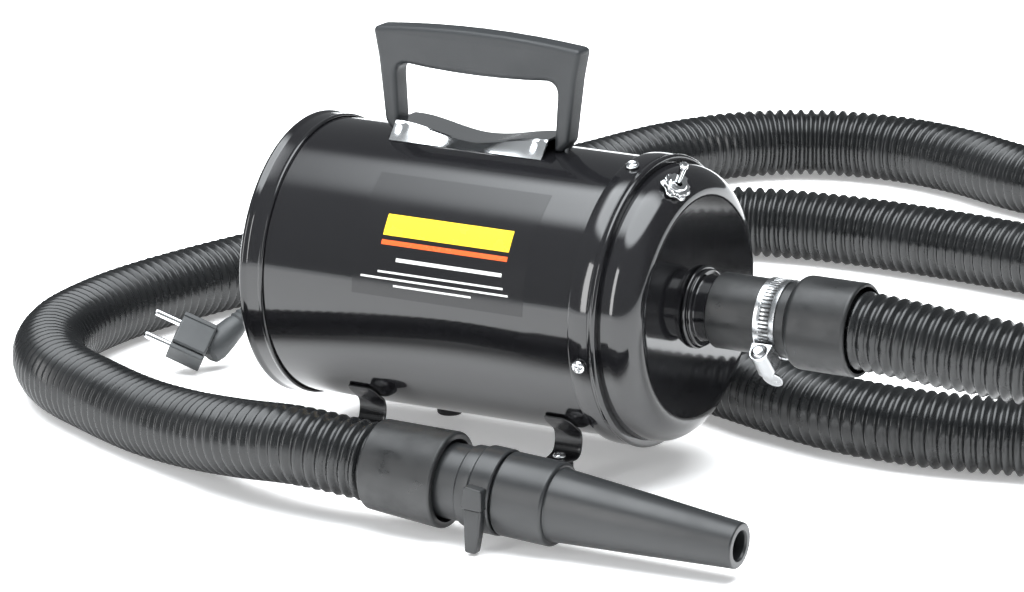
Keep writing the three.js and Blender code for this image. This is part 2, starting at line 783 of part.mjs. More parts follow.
const hoseRoute = [
  [200, 0, axisHeight - 0.2],
  [255, 1, axisHeight - 4],
  [310, 5, axisHeight - 8],
  [365, 18, axisHeight - 14],
  [415, 48, axisHeight - 22],
  [452, 100, axisHeight - 30],
  [470, 165, axisHeight - 36],
  [466, 235, 56],
  [440, 305, 32],
  [395, 370, 26],
  [335, 425, 26],
  [260, 470, 26],
  [170, 498, 26],
  [74, 511, 26],
  [5, 519, 26],
  [-67, 521, 26],
  [-141, 508, 26],
  [-187, 480, 26],
  [-213, 432, 26],
  [-215, 375, 26],
  [-200, 315, 26],
  [-170, 258, 26],
  [-125, 208, 26],
  [-65, 168, 26],
  [31, 135, 26],
  [101, 108, 26],
  [150, 96, 26],
  [203, 96, 26],
  [256, 107, 26],
  [350, 135, 26],
  [450, 165, 26],
  [545, 215, 26],
  [612, 295, 26],
  [640, 395, 26],
  [620, 495, 26],
  [555, 580, 26],
  [460, 635, 26],
  [350, 662, 26],
  [230, 675, 26],
  [100, 692, 26],
  [-17, 717, 26],
  [-87, 746, 26],
  [-143, 757, 26],
  [-204, 747, 26],
  [-252, 712, 26],
  [-285, 655, 26],
  [-305, 580, 26],
  [-330, 480, 26],
  [-352, 370, 26],
  [-372, 270, 26],
  [-397, 174, 26],
  [-409, 110, 26],
  [-411, 60, 26],
  [-405, 15, 26],
  [-385, -30, 26],
  [-350, -70, 26],
  [-300, -100, 26],
  [-250, -124, 26],
  [-200, -146, 30],
  [-150, -167, 37],
];
const nozzleStart = [-44.7, -177.1, 38.8];
const nozzleEnd = [203.1, -172.6, 23];

const handCuffLength = 52;
const handCuffRearRadius = 28.4;
const handCuffRadius = 30.3;
const adapterRadius = 23.5;
const adapterWall = 3;
const adapterStart = 42;
const collarStart = 75.5;
const collarWidth = 15;
const nozzleBaseStart = 91.5;
const nozzleBaseLength = 35;
const nozzleBaseRadius = 26.2;
const coneRadius = 23;
const nozzleLength = 248.4; // hand cuff's rear end to the tip
const tipRadius = 14.4;
const tipBore = 9;

function addHose() {
  const start = new THREE.Vector3(...nozzleStart);
  const direction = new THREE.Vector3(...nozzleEnd).sub(start).normalize();
  const hand = new THREE.Group();
  hand.position.copy(start);
  hand.quaternion.setFromUnitVectors(new THREE.Vector3(1, 0, 0), direction);
  dryer.add(hand);

  const hoseStart = [socketFloorX + gap, 0, axisHeight];
  const lastBend = start.clone().addScaledVector(direction, -55);
  const hoseEnd = start.clone().addScaledVector(direction, -gap);
  const route = [hoseStart, ...hoseRoute, lastBend.toArray(), hoseEnd.toArray()];
  place("air_hose", cordTube(route, hoseRadius, 8, 64), hosePlastic, dryer);

  const lipDepth = 10;
  const handCuff = turned([
    [0, hoseBore],
    [0, handCuffRearRadius - 2],
    [2, handCuffRearRadius],
    [handCuffLength - 2, handCuffRadius],
    [handCuffLength, handCuffRadius - 2],
    [handCuffLength, adapterRadius + 2.6],
    [handCuffLength - lipDepth, adapterRadius + gap],
    [handCuffLength - lipDepth, hoseBore],
  ]);
  place("hand_cuff", handCuff, blackRubber, hand);

  const flangeRadius = 25.2;
  const adapterEnd = nozzleBaseStart + 20;
  const adapterBore = adapterRadius - adapterWall;
  const adapter = turned([
    [adapterStart + gap, adapterBore],
    [adapterStart + gap, adapterRadius],
    [66, adapterRadius],
    [67, flangeRadius],
    [collarStart - gap, flangeRadius],
    [collarStart - gap, adapterRadius],
    [adapterEnd, adapterRadius],
    [adapterEnd, adapterBore],
  ]);
  place("nozzle_adapter", adapter, moulding, hand);
  addCollar(hand);

  const base = nozzleBaseStart;
  const coneStart = base + nozzleBaseLength;
  const boreRadius = adapterRadius + runningClearance;
  const nozzle = turned([
    [base, boreRadius],
    [base, nozzleBaseRadius],
    [coneStart, nozzleBaseRadius],
    [coneStart, coneRadius],
    [nozzleLength, tipRadius],
    [nozzleLength, tipBore],
    [coneStart, coneRadius - 3],
    [adapterEnd + 1, coneRadius - 3],
    [adapterEnd + 1, boreRadius],
  ]);
  place("nozzle", nozzle, moulding, hand);
}

// A locking collar with a box-shaped lug and a long tapered tab that hangs beside the nozzle.
function addCollar(hand) {
  const outer = 27;
  const end = collarStart + collarWidth;
  const ring = sleeve(collarStart, end, adapterRadius + runningClearance, outer);
  const lug = new THREE.BoxGeometry(collarWidth - 1, 8, 13).translate(0, -outer - 2.5, 2);
  const tabOutline = shapeOf([[-6, -4], [6, -4], [4.5, -32], [-3.5, -32]]);
  const tab = prism(tabOutline, 8).rotateX(Math.PI / 2).translate(0, -outer + 2.5, 0);
  const middle = collarStart + collarWidth / 2;
  const bore = rod(collarStart - 1, end + 1, adapterRadius + runningClearance);
  const collar = join(ring, lug.translate(middle, 0, 0), tab.translate(middle, 0, 0));
  place("lock_collar", cut(collar, bore), moulding, hand);
}

// ---- Mains cord, its gland and its plug ----

const plugOrigin = [-338, 51, 26]; // middle of the plug's face, between its pins
const plugPinAxis = [-0.837, -0.369, 0.406];
const plugPinRow = [0.045, -0.787, -0.615];
const reliefStart = [-320, 66, 13.5];
const reliefEnd = [-306.5, 95, 35];

function addCord() {
  const glandLength = 22;
  const glandFlange = 9;
  const bore = cordRadius + 3 * gap;
  const gland = turned([
    [rearX - glandLength, bore],
    [rearX - glandLength, bore + 1],
    [rearX - gap - 2, glandRadius + 0.5],
    [rearX - gap - 2, glandFlange],
    [rearX - gap, glandFlange],
    [rearX - gap, glandRadius],
    [rearX + sheet + 4, glandRadius],
    [rearX + sheet + 4, bore],
  ], 16);
  place("cable_gland", gland.translate(0, ...glandPlace), blackRubber);

  const [glandY, glandDrop] = glandPlace;
  const glandZ = axisHeight + glandDrop;
  const supply = [
    [rearX + sheet, glandY, glandZ],
    [rearX - glandLength, glandY, glandZ],
    [-236, 37, 52],
    [-249, 48, 42],
    [-254, 68, 27],
    [-250, 92, 14],
    [-238, 118, 7],
    [-223, 145, 4.6],
    [-212, 165, 4.4],
    [coilCentre[0] + coilTurn, coilCentre[1] - coilEntry, 4.4],
  ];
  place("mains_cord", cordTube(supply, cordRadius, 8, 16), hosePlastic, dryer);

  const coil = new THREE.LatheGeometry(
    [
      [coilHole, 0.2],
      [coilRadius, 0.2],
      [coilRadius, coilHeight],
      [coilHole, coilHeight],
      [coilHole, 0.2],
    ].map(([radius, height]) => new THREE.Vector2(radius, height)),
    32,
  );
  coil.rotateX(Math.PI / 2).translate(...coilCentre, 0);
  place("cord_coil", coil, hosePlastic, dryer);

  addPlug();
}

function addPlug() {
  const plug = new THREE.Group();
  const axis = new THREE.Vector3(...plugPinAxis).normalize();
  const row = new THREE.Vector3(...plugPinRow);
  row.addScaledVector(axis, -row.dot(axis)).normalize();
  const basis = new THREE.Matrix4().makeBasis(axis, row, axis.clone().cross(row));
  plug.quaternion.setFromRotationMatrix(basis);
  plug.position.set(...plugOrigin);
  dryer.add(plug);
  plug.updateMatrixWorld(true);

  const bodyDepth = 24;
  const bodyHalfRow = 15;
  const bodyHalf = 10;
  const insert = 8;
  const start = new THREE.Vector3(...reliefStart);
  const relief = new THREE.Vector3(...reliefEnd).sub(start);
  const reliefLength = relief.length();
  relief.normalize();
  const reliefAlong = (beyond) => start.clone().addScaledVector(relief, reliefLength + beyond).toArray();
  const turnRelief = new THREE.Quaternion().setFromUnitVectors(new THREE.Vector3(1, 0, 0), relief);
  const cone = turned([[0, 0], [0, 11], [reliefLength * 0.6, 8], [reliefLength, 6], [reliefLength, 0]], 20);
  cone.applyQuaternion(turnRelief).translate(start.x, start.y, start.z);
  cone.applyMatrix4(plug.matrixWorld.clone().invert());

  const block = new THREE.BoxGeometry(bodyDepth, 2 * bodyHalfRow, 2 * bodyHalf).translate(-bodyDepth / 2, 0, 0);
  const pocket = new THREE.BoxGeometry(2 * insert, plugPinSpacing + 8, 9);
  place("plug_body", cut(join(block, cone), pocket), hosePlastic, plug);

  const bridge = new THREE.BoxGeometry(insert - gap, plugPinSpacing + 8 - 2 * gap, 9 - 2 * gap);
  bridge.translate(-(insert - gap) / 2, 0, 0);
  const pins = [-1, 1].map((side) => {
    const pin = turned(
      [[-2, 0], [-2, plugPinRadius], [plugPinLength - 1.5, plugPinRadius], [plugPinLength, 1], [plugPinLength, 0]],
      16,
    );
    return pin.translate(0, (side * plugPinSpacing) / 2, 0);
  });
  place("plug_pins", join(bridge, ...pins), chrome, plug);

  const lead = [
    reliefAlong(gap),
    reliefAlong(12),
    [-300, 118, 45],
    [-306, 136, 43],
    [-313, 153, 36],
    [-318, 168, 29],
    [coilCentre[0] - coilTurn, coilCentre[1] - coilEntry, 25.6],
  ];
  place("plug_lead", cordTube(lead, cordRadius, 8, 9), hosePlastic, dryer);
}

addShell();
addRearCap();
addIntake();
addFrontRing();
addDome();
addToggle();
addMotor();
addHandle();
addFeet();
addOutlet();
addHose();
addCord();

export default dryer;
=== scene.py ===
# A canister car dryer: a gloss black steel can on strap feet, with a chrome and plastic carrying
# handle, a toggle switch, a clamped rubber cuff, a long corrugated hose with its nozzle, and a
# mains cord with a moulded plug. Metres, +Z up, and the can lies along +X.
import math

import bpy
import numpy as np
from mathutils import Matrix, Vector
from mathutils.geometry import interpolate_bezier


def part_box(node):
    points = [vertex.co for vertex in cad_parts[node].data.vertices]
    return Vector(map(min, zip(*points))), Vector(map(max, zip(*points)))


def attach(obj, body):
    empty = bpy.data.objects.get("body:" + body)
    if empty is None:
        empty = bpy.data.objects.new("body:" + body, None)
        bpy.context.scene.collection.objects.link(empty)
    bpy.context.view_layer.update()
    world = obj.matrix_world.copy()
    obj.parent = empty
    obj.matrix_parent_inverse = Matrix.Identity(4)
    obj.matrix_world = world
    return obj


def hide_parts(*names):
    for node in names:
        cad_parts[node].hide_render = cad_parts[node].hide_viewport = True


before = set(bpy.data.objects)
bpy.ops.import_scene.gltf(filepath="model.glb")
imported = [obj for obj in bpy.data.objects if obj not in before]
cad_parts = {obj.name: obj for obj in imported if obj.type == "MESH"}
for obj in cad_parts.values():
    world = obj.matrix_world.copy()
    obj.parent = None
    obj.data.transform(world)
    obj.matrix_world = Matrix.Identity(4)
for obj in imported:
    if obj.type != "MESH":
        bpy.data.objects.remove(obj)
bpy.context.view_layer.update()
bpy.ops.object.select_all(action="DESELECT")

# ---- Camera ----
# A long lens well back from the machine, on its outlet side and a little above it.

camera_place = Vector((1.7604, -3.2136, 1.1058))
camera_aim = Vector((-0.068, 0.0315, 0.093))
bpy.ops.object.camera_add(location=camera_place)
camera = bpy.context.object
camera.rotation_euler = (camera_aim - camera_place).to_track_quat("-Z", "Y").to_euler()
camera.data.sensor_width = 36
camera.data.lens = 210.9
camera.data.clip_end = 60
bpy.context.scene.camera = camera

# ---- Studio ----
# A sheet of white paper on the floor in a pale room, darker behind the machine and bright in one
# patch of ceiling. A soft box lights it from overhead, and a strip in front brightens the rims.

bpy.context.scene.view_settings.view_transform = "Standard"
floor_side = 60
bpy.ops.mesh.primitive_plane_add(size=floor_side, location=(0, 0, 0))
floor = bpy.context.object
floor.name = "floor"
paper = bpy.data.materials.new("white_paper")
paper.use_nodes = True
paper_shader = paper.node_tree.nodes["Principled BSDF"]
paper_shader.inputs["Base Color"].default_value = (0.95, 0.95, 0.95, 1)
paper_shader.inputs["Roughness"].default_value = 0.9
paper_shader.inputs["Specular IOR Level"].default_value = 0.0
paper_shader.inputs["Emission Color"].default_value = (1.0, 1.0, 1.0, 1)
paper_shader.inputs["Emission Strength"].default_value = 0.30
floor.data.materials.append(paper)

room = bpy.data.worlds.new("pale_room")
room.use_nodes = True
room_nodes, room_links = room.node_tree.nodes, room.node_tree.links
room_way = room_nodes.new("ShaderNodeTexCoord")
room_split = room_nodes.new("ShaderNodeSeparateXYZ")
room_links.new(room_way.outputs["Generated"], room_split.inputs["Vector"])


def fade(axis, start, stop, low=0.0, high=1.0):
    """The room's brightness along one axis of the direction, from low at start to high at stop."""
    shade = room_nodes.new("ShaderNodeMapRange")
    shade.interpolation_type = "SMOOTHSTEP"
    shade.inputs["From Min"].default_value = start
    shade.inputs["From Max"].default_value = stop
    shade.inputs["To Min"].default_value = low
    shade.inputs["To Max"].default_value = high
    room_links.new(room_split.outputs[axis], shade.inputs["Value"])
    return shade.outputs["Result"]


walls = fade("Y", -0.35, 0.30, low=0.42, high=0.20)
ceiling_height = fade("Z", 0.79, 0.87)
ceiling_depth = fade("Y", 0.42, 0.18)
ceiling_glow = fade("X", -0.54, -0.43, low=0.25, high=6.5)
ceiling = room_nodes.new("ShaderNodeMath")
ceiling.operation = "MULTIPLY"
room_links.new(ceiling_height, ceiling.inputs[0])
room_links.new(ceiling_depth, ceiling.inputs[1])
brightness = room_nodes.new("ShaderNodeMath")
brightness.operation = "MULTIPLY_ADD"
room_links.new(ceiling.outputs["Value"], brightness.inputs[0])
room_links.new(ceiling_glow, brightness.inputs[1])
room_links.new(walls, brightness.inputs[2])
room_links.new(brightness.outputs["Value"], room_nodes["Background"].inputs["Strength"])
room_nodes["Background"].inputs["Color"].default_value = (0.93, 0.97, 1.0, 1)
bpy.context.scene.world = room


def soft_box(name, place, aim, width, height, power):
    """A flat soft light that faces a point."""
    bpy.ops.object.light_add(type="AREA", location=place)
    lamp = bpy.context.object
    lamp.name = name
    lamp.rotation_euler = (Vector(aim) - Vector(place)).to_track_quat("-Z", "Y").to_euler()
    lamp.data.shape = "RECTANGLE"
    lamp.data.size = width
    lamp.data.size_y = height
    lamp.data.energy = power
    return lamp


overhead = soft_box("overhead_box", (-0.3, 0.0, 2.7), (-0.3, 0.0001, 0.0), 4.2, 2.6, 135)
overhead.visible_glossy = False
soft_box("front_strip", (-0.80, -2.9, 1.10), (0.05, 0.0, 0.12), 0.60, 2.0, 30)

# ---- Air hose ----
# 1.5 in vacuum hose, extruded black plastic wound into thin rounded ribs. It leaves the outlet
# cuff, crosses itself behind the machine, and comes back along the near side to the hand cuff.


def smooth_route(points, step):
    """Points an even step apart, on one smooth curve through the given points."""
    last = len(points) - 1
    headings = [(points[min(i + 1, last)] - points[max(i - 1, 0)]).normalized() for i in range(last + 1)]
    fine = [points[0]]
    for i in range(last):
        reach = (points[i + 1] - points[i]).length / 3
        leave = points[i] + headings[i] * reach
        arrive = points[i + 1] - headings[i + 1] * reach
        fine += interpolate_bezier(points[i], leave, arrive, points[i + 1], 30)[1:]
    line = np.array(fine)
    along = np.concatenate([[0], np.cumsum(np.linalg.norm(np.diff(line, axis=0), axis=1))])
    stations = np.linspace(0, along[-1], max(2, round(along[-1] / step) + 1))
    return np.stack([np.interp(stations, along, line[:, axis]) for axis in range(3)], axis=1)


rib_pitch = 0.0077
rib_profile = (0.0250, 0.0243, 0.0222, 0.0214, 0.0222, 0.0243)  # radii from one rib's crest to the next
hose_sides = 24
hand_start = Vector((-0.0447, -0.1771, 0.0388))
hand_tip = Vector((0.2031, -0.1726, 0.0230))
hand_axis = (hand_tip - hand_start).normalized()
hose_exit = (0.1608, 0.0, 0.114)
hose_points_mm = [
    (200, 0, 113.8), (255, 1, 110), (310, 5, 106), (365, 18, 100), (415, 48, 92), (452, 100, 84),
    (470, 165, 78), (466, 235, 56), (440, 305, 32), (395, 370, 26), (335, 425, 26), (260, 470, 26),
    (170, 498, 26), (74, 511, 26), (5, 519, 26), (-67, 521, 26), (-141, 508, 26), (-187, 480, 26),
    (-213, 432, 26), (-215, 375, 26), (-200, 315, 26), (-170, 258, 26), (-125, 208, 26), (-65, 168, 26),
    (31, 135, 26), (101, 108, 26), (150, 96, 26), (203, 96, 26), (256, 107, 26), (350, 135, 26),
    (450, 165, 26), (545, 215, 26), (612, 295, 26), (640, 395, 26), (620, 495, 26), (555, 580, 26),
    (460, 635, 26), (350, 662, 26), (230, 675, 26), (100, 692, 26), (-17, 717, 26), (-87, 746, 26),
    (-143, 757, 26), (-204, 747, 26), (-252, 712, 26), (-285, 655, 26), (-305, 580, 26), (-330, 480, 26),
    (-352, 370, 26), (-372, 270, 26), (-397, 174, 26), (-409, 110, 26), (-411, 60, 26), (-405, 15, 26),
    (-385, -30, 26), (-350, -70, 26), (-300, -100, 26), (-250, -124, 26), (-200, -146, 30),
    (-150, -167, 37),
]
hose_points = [Vector(hose_exit)]
hose_points += [Vector(point) / 1000 for point in hose_points_mm]
hose_points += [hand_start - hand_axis * 0.055, hand_start - hand_axis * 0.0003]
hose_line = smooth_route(hose_points, rib_pitch / len(rib_profile))


def swept_tube(name, line, radii, sides):
    """A closed tube along a line, whose radius repeats the given list from point to point."""
    tangents = np.gradient(line, axis=0)
    tangents /= np.linalg.norm(tangents, axis=1)[:, None]
    side = np.cross(tangents[0], (0, 0, 1.0))
    turns = np.linspace(0, 2 * math.pi, sides, endpoint=False)
    rings = []
    for i, (centre, tangent) in enumerate(zip(line, tangents)):
        side = side - tangent * side.dot(tangent)
        side /= np.linalg.norm(side)
        up = np.cross(side, tangent)
        radius = radii[i % len(radii)]
        rings.append(centre + radius * (np.outer(np.cos(turns), side) + np.outer(np.sin(turns), up)))
    count = len(rings)
    faces = []
    for i in range(count - 1):
        for j in range(sides):
            k = (j + 1) % sides
            faces.append((i * sides + j, i * sides + k, (i + 1) * sides + k, (i + 1) * sides + j))
    faces.append(tuple(reversed(range(sides))))
    faces.append(tuple(range((count - 1) * sides, count * sides)))
    mesh = bpy.data.meshes.new(name)
    mesh.from_pydata(np.concatenate(rings).tolist(), [], faces)
    mesh.update()
    piece = bpy.data.objects.new(name, mesh)
    bpy.context.scene.collection.objects.link(piece)
    return piece


def pick(piece):
    """Makes a piece the only one selected, and active."""
    bpy.ops.object.select_all(action="DESELECT")
    piece.select_set(True)
    bpy.context.view_layer.objects.active = piece


def face_out(piece):
    """Turns every face of a closed piece outwards."""
    pick(piece)
    bpy.ops.object.mode_set(mode="EDIT")
    bpy.ops.mesh.select_all(action="SELECT")
    bpy.ops.mesh.remove_doubles(threshold=1e-6)
    bpy.ops.mesh.normals_make_consistent(inside=False)
    bpy.ops.object.mode_set(mode="OBJECT")


def settle(piece, name, body, slot, material, *nodes):
    """Names a finished piece, bakes its place into its mesh, and ties it to the frame."""
    pick(piece)
    piece.name = name
    bpy.ops.object.transform_apply(location=True, rotation=True, scale=True)
    piece.data.materials.clear()
    piece.data.materials.append(material)
    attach(piece, body)
    if nodes:
        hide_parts(*nodes)
    return piece


def new_group(name, inputs, outputs):
    """An empty shader group with the given number sockets, and its two end nodes."""
    group = bpy.data.node_groups.new(name, "ShaderNodeTree")
    for label, value in inputs.items():
        socket = group.interface.new_socket(label, in_out="INPUT", socket_type="NodeSocketFloat")
        socket.default_value = value
    for label in outputs:
        group.interface.new_socket(label, in_out="OUTPUT", socket_type="NodeSocketFloat")
    return group, group.nodes.new("NodeGroupInput"), group.nodes.new("NodeGroupOutput")


def mottle_group():
    """Uneven sheen: a value that drifts between two limits, and a fine height to go with it."""
    inputs = {"Patch": 20.0, "Grain": 900.0, "Low": 0.3, "High": 0.5}
    group, ins, outs = new_group("uneven_sheen", inputs, ["Sheen", "Height"])
    nodes, links = group.nodes, group.links
    place = nodes.new("ShaderNodeTexCoord")
    patches = nodes.new("ShaderNodeTexNoise")
    patches.inputs["Detail"].default_value = 5
    patches.inputs["Roughness"].default_value = 0.6
    grain = nodes.new("ShaderNodeTexNoise")
    grain.inputs["Detail"].default_value = 3
    spread = nodes.new("ShaderNodeMapRange")
    spread.inputs["From Min"].default_value = 0.3
    spread.inputs["From Max"].default_value = 0.7
    links.new(place.outputs["Object"], patches.inputs["Vector"])
    links.new(place.outputs["Object"], grain.inputs["Vector"])
    links.new(ins.outputs["Patch"], patches.inputs["Scale"])
    links.new(ins.outputs["Grain"], grain.inputs["Scale"])
    links.new(patches.outputs["Fac"], spread.inputs["Value"])
    links.new(ins.outputs["Low"], spread.inputs["To Min"])
    links.new(ins.outputs["High"], spread.inputs["To Max"])
    links.new(spread.outputs["Result"], outs.inputs["Sheen"])
    links.new(grain.outputs["Fac"], outs.inputs["Height"])
    return group


def dust_group():
    """Sparse pale specks and smears, as a mask from 0 to 1."""
    group, ins, outs = new_group("dust", {"Speck": 350.0, "Amount": 0.5}, ["Mask"])
    nodes, links = group.nodes, group.links
    place = nodes.new("ShaderNodeTexCoord")
    specks = nodes.new("ShaderNodeTexVoronoi")
    small = nodes.new("ShaderNodeMapRange")
    small.inputs["From Min"].default_value = 0.09
    small.inputs["From Max"].default_value = 0.02
    clouds = nodes.new("ShaderNodeTexNoise")
    clouds.inputs["Scale"].default_value = 22
    clouds.inputs["Detail"].default_value = 6
    where = nodes.new("ShaderNodeMapRange")
    where.inputs["From Min"].default_value = 0.5
    where.inputs["From Max"].default_value = 0.68
    both = nodes.new("ShaderNodeMath")
    both.operation = "MULTIPLY"
    scaled = nodes.new("ShaderNodeMath")
    scaled.operation = "MULTIPLY"
    links.new(place.outputs["Object"], specks.inputs["Vector"])
    links.new(place.outputs["Object"], clouds.inputs["Vector"])
    links.new(ins.outputs["Speck"], specks.inputs["Scale"])
    links.new(specks.outputs["Distance"], small.inputs["Value"])
    links.new(clouds.outputs["Fac"], where.inputs["Value"])
    links.new(small.outputs["Result"], both.inputs[0])
    links.new(where.outputs["Result"], both.inputs[1])
    links.new(both.outputs["Value"], scaled.inputs[0])
    links.new(ins.outputs["Amount"], scaled.inputs[1])
    links.new(scaled.outputs["Value"], outs.inputs["Mask"])
    return group


uneven_sheen = mottle_group()
dust = dust_group()


def finish(name, colour, low, high, metal=0.0, patch=20.0, grain=900.0, bump=0.05, depth=0.0002,
           specks=0.0, worn=(0.30, 0.30, 0.29)):
    """A painted, plated, rubber or plastic finish with uneven sheen, a fine grain and some dust."""
    material = bpy.data.materials.new(name)
    material.use_nodes = True
    nodes, links = material.node_tree.nodes, material.node_tree.links
    shader = nodes["Principled BSDF"]
    shader.inputs["Metallic"].default_value = metal
    sheen = nodes.new("ShaderNodeGroup")
    sheen.node_tree = uneven_sheen
    sheen.inputs["Patch"].default_value = patch
    sheen.inputs["Grain"].default_value = grain
    sheen.inputs["Low"].default_value = low
    sheen.inputs["High"].default_value = high
    links.new(sheen.outputs["Sheen"], shader.inputs["Roughness"])
    relief = nodes.new("ShaderNodeBump")
    relief.inputs["Strength"].default_value = bump
    relief.inputs["Distance"].default_value = depth
    links.new(sheen.outputs["Height"], relief.inputs["Height"])
    links.new(relief.outputs["Normal"], shader.inputs["Normal"])
    shader.inputs["Base Color"].default_value = (*colour, 1)
    if specks == 0:
        return material
    dusting = nodes.new("ShaderNodeGroup")
    dusting.node_tree = dust
    dusting.inputs["Amount"].default_value = specks
    tint = nodes.new("ShaderNodeMix")
    tint.data_type = "RGBA"
    tint.inputs["A"].default_value = (*colour, 1)
    tint.inputs["B"].default_value = (*worn, 1)
    links.new(dusting.outputs["Mask"], tint.inputs["Factor"])
    links.new(tint.outputs["Result"], shader.inputs["Base Color"])
    return material


air_hose = swept_tube("ribbed_hose", hose_line, rib_profile, hose_sides)
face_out(air_hose)
bpy.ops.object.shade_smooth()
hose_black = finish("hose_black", (0.007, 0.0075, 0.008), 0.20, 0.34, patch=35, grain=700, bump=0.04,
                    specks=0.2)
settle(air_hose, "ribbed_hose", "dryer", "hose_plastic", hose_black, "air_hose")

# ---- Mains cord ----
# Round PVC cord. It leaves the gland in the rear cap, drops to the floor and is wound into a neat
# coil behind the can. Its other end rises over the coil's edge into the plug's strain relief.

cord_diameter = 0.008
gland_exit = Vector((-0.1973, 0.035, 0.054))
coil_centre = Vector((-0.264, 0.212, 0))
coil_layers = (0.0044, 0.01135, 0.0183, 0.0252)
coil_turns = [
    (0.056, coil_layers[0]), (0.048, coil_layers[0]), (0.040, coil_layers[0]),
    (0.036, coil_layers[1]), (0.044, coil_layers[1]), (0.052, coil_layers[1]),
    (0.056, coil_layers[2]), (0.048, coil_layers[2]), (0.040, coil_layers[2]),
    (0.044, coil_layers[3]), (0.052, coil_layers[3]), (0.056, coil_layers[3]),
]
supply_points_mm = [
    (-220.5, 35, 54), (-236, 37, 52), (-249, 48, 42), (-254, 68, 27), (-250, 92, 14),
    (-238, 118, 7), (-223, 145, 4.6), (-212, 165, 4.4), (-208, 181, 4.4),
]
lead_points_mm = [
    (-320, 181, 25.6), (-318, 168, 29), (-313, 153, 36), (-306, 136, 43), (-300, 118, 45),
]
relief_start = Vector((-0.320, 0.066, 0.0135))
relief_end = Vector((-0.3065, 0.095, 0.035))
relief_axis = (relief_end - relief_start).normalized()


def coil_route(centre, turns, steps):
    """A coil wound turn by turn, which slides to the next turn's place over its last fifth."""
    route = []
    for index in range(int((len(turns) - 0.5) * steps) + 1):
        turn, step = divmod(index, steps)
        radius, height = turns[turn]
        next_radius, next_height = turns[min(turn + 1, len(turns) - 1)]
        slide = max(0.0, step / steps - 0.8) / 0.2
        slide = slide * slide * (3 - 2 * slide)
        radius += (next_radius - radius) * slide
        height += (next_height - height) * slide
        angle = 2 * math.pi * step / steps
        route.append(centre + Vector((radius * math.cos(angle), radius * math.sin(angle), height)))
    return route


cord_points = [gland_exit]
cord_points += [Vector(point) / 1000 for point in supply_points_mm]
cord_points += coil_route(coil_centre, coil_turns, 40)
cord_points += [Vector(point) / 1000 for point in lead_points_mm]
cord_points += [relief_end + relief_axis * 0.012, relief_end + relief_axis * 0.0003]
cord_line = smooth_route(cord_points, 0.004)

cord_curve = bpy.data.curves.new("mains_lead", "CURVE")
cord_curve.dimensions = "3D"
cord_curve.bevel_depth = cord_diameter / 2
cord_curve.bevel_resolution = 3
cord_curve.use_fill_caps = True
spline = cord_curve.splines.new("POLY")
spline.points.add(len(cord_line) - 1)
for point, place in zip(spline.points, cord_line):
    point.co = (*place, 1)
mains_lead = bpy.data.objects.new("mains_lead", cord_curve)
bpy.context.scene.collection.objects.link(mains_lead)
cord_black = finish("cord_black", (0.020, 0.020, 0.022), 0.40, 0.55, patch=60, grain=1500, bump=0.04,
                    specks=0.2)
cord_curve.materials.append(cord_black)
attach(mains_lead, "dryer")
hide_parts("mains_cord", "cord_coil", "plug_lead")

# ---- Can and rear cap ----
# A rolled steel tube with a pressed steel cap over its back end, both in deep gloss black enamel.
# The cap's skirt slides over the tube and has a rolled bead round its rear edge.

axis_height = 0.114
can_place = Matrix.Translation((0, 0, axis_height))


def arc(centre, radius, start, stop, steps):
    """[along, radius] points of an arc in the section, between two angles in degrees."""
    angles = [math.radians(start + (stop - start) * i / steps) for i in range(steps + 1)]
    return [(centre[0] + radius * math.cos(a), centre[1] + radius * math.sin(a)) for a in angles]


def turned(profile, sides=96, bevel=0.0003, closed=True):
    """A piece turned about X: a ring extruded from station to station, then bevelled."""
    (start, first), *stations = profile
    bpy.ops.object.select_all(action="DESELECT")
    turn = (0, math.pi / 2, 0)
    bpy.ops.mesh.primitive_circle_add(vertices=sides, radius=first, location=(start, 0, 0), rotation=turn)
    piece = bpy.context.object
    bpy.ops.object.transform_apply(location=True, rotation=True, scale=True)
    bpy.ops.object.mode_set(mode="EDIT")
    bpy.ops.mesh.select_all(action="SELECT")
    here, radius = start, first
    for along, wide in stations:
        bpy.ops.mesh.extrude_edges_move(TRANSFORM_OT_translate={"value": (along - here, 0, 0)})
        bpy.ops.transform.resize(value=(1, wide / radius, wide / radius), center_override=(along, 0, 0))
        here, radius = along, wide
    if closed:
        bpy.ops.mesh.extrude_edges_move(TRANSFORM_OT_translate={"value": (start - here, 0, 0)})
        bpy.ops.transform.resize(value=(1, first / radius, first / radius), center_override=(start, 0, 0))
    bpy.ops.mesh.select_all(action="SELECT")
    bpy.ops.mesh.remove_doubles(threshold=1e-6)
    if not closed:
        bpy.ops.mesh.fill_holes(sides=0)
    bpy.ops.mesh.select_all(action="SELECT")
    bpy.ops.mesh.normals_make_consistent(inside=False)
    bpy.ops.object.mode_set(mode="OBJECT")
    soften(piece, bevel)
    return piece


def soften(piece, width, segments=2, limit=32):
    """Rounds a piece's sharp edges by a small width and shades it smooth, so that wide faces stay true."""
    pick(piece)
    if width:
        bevel = piece.modifiers.new("edges", "BEVEL")
        bevel.width = width
        bevel.segments = segments
        bevel.limit_method = "ANGLE"
        bevel.angle_limit = math.radians(limit)
        bevel.use_clamp_overlap = True
        bpy.ops.object.modifier_apply(modifier=bevel.name)
    bpy.ops.object.shade_smooth_by_angle(angle=math.radians(limit))
    even = piece.modifiers.new("even_shading", "WEIGHTED_NORMAL")
    even.keep_sharp = True
    bpy.ops.object.modifier_apply(modifier=even.name)


def put(piece, matrix):
    """Moves a new piece to its place on the machine."""
    piece.matrix_world = matrix @ piece.matrix_world
    bpy.context.view_layer.update()
    return piece


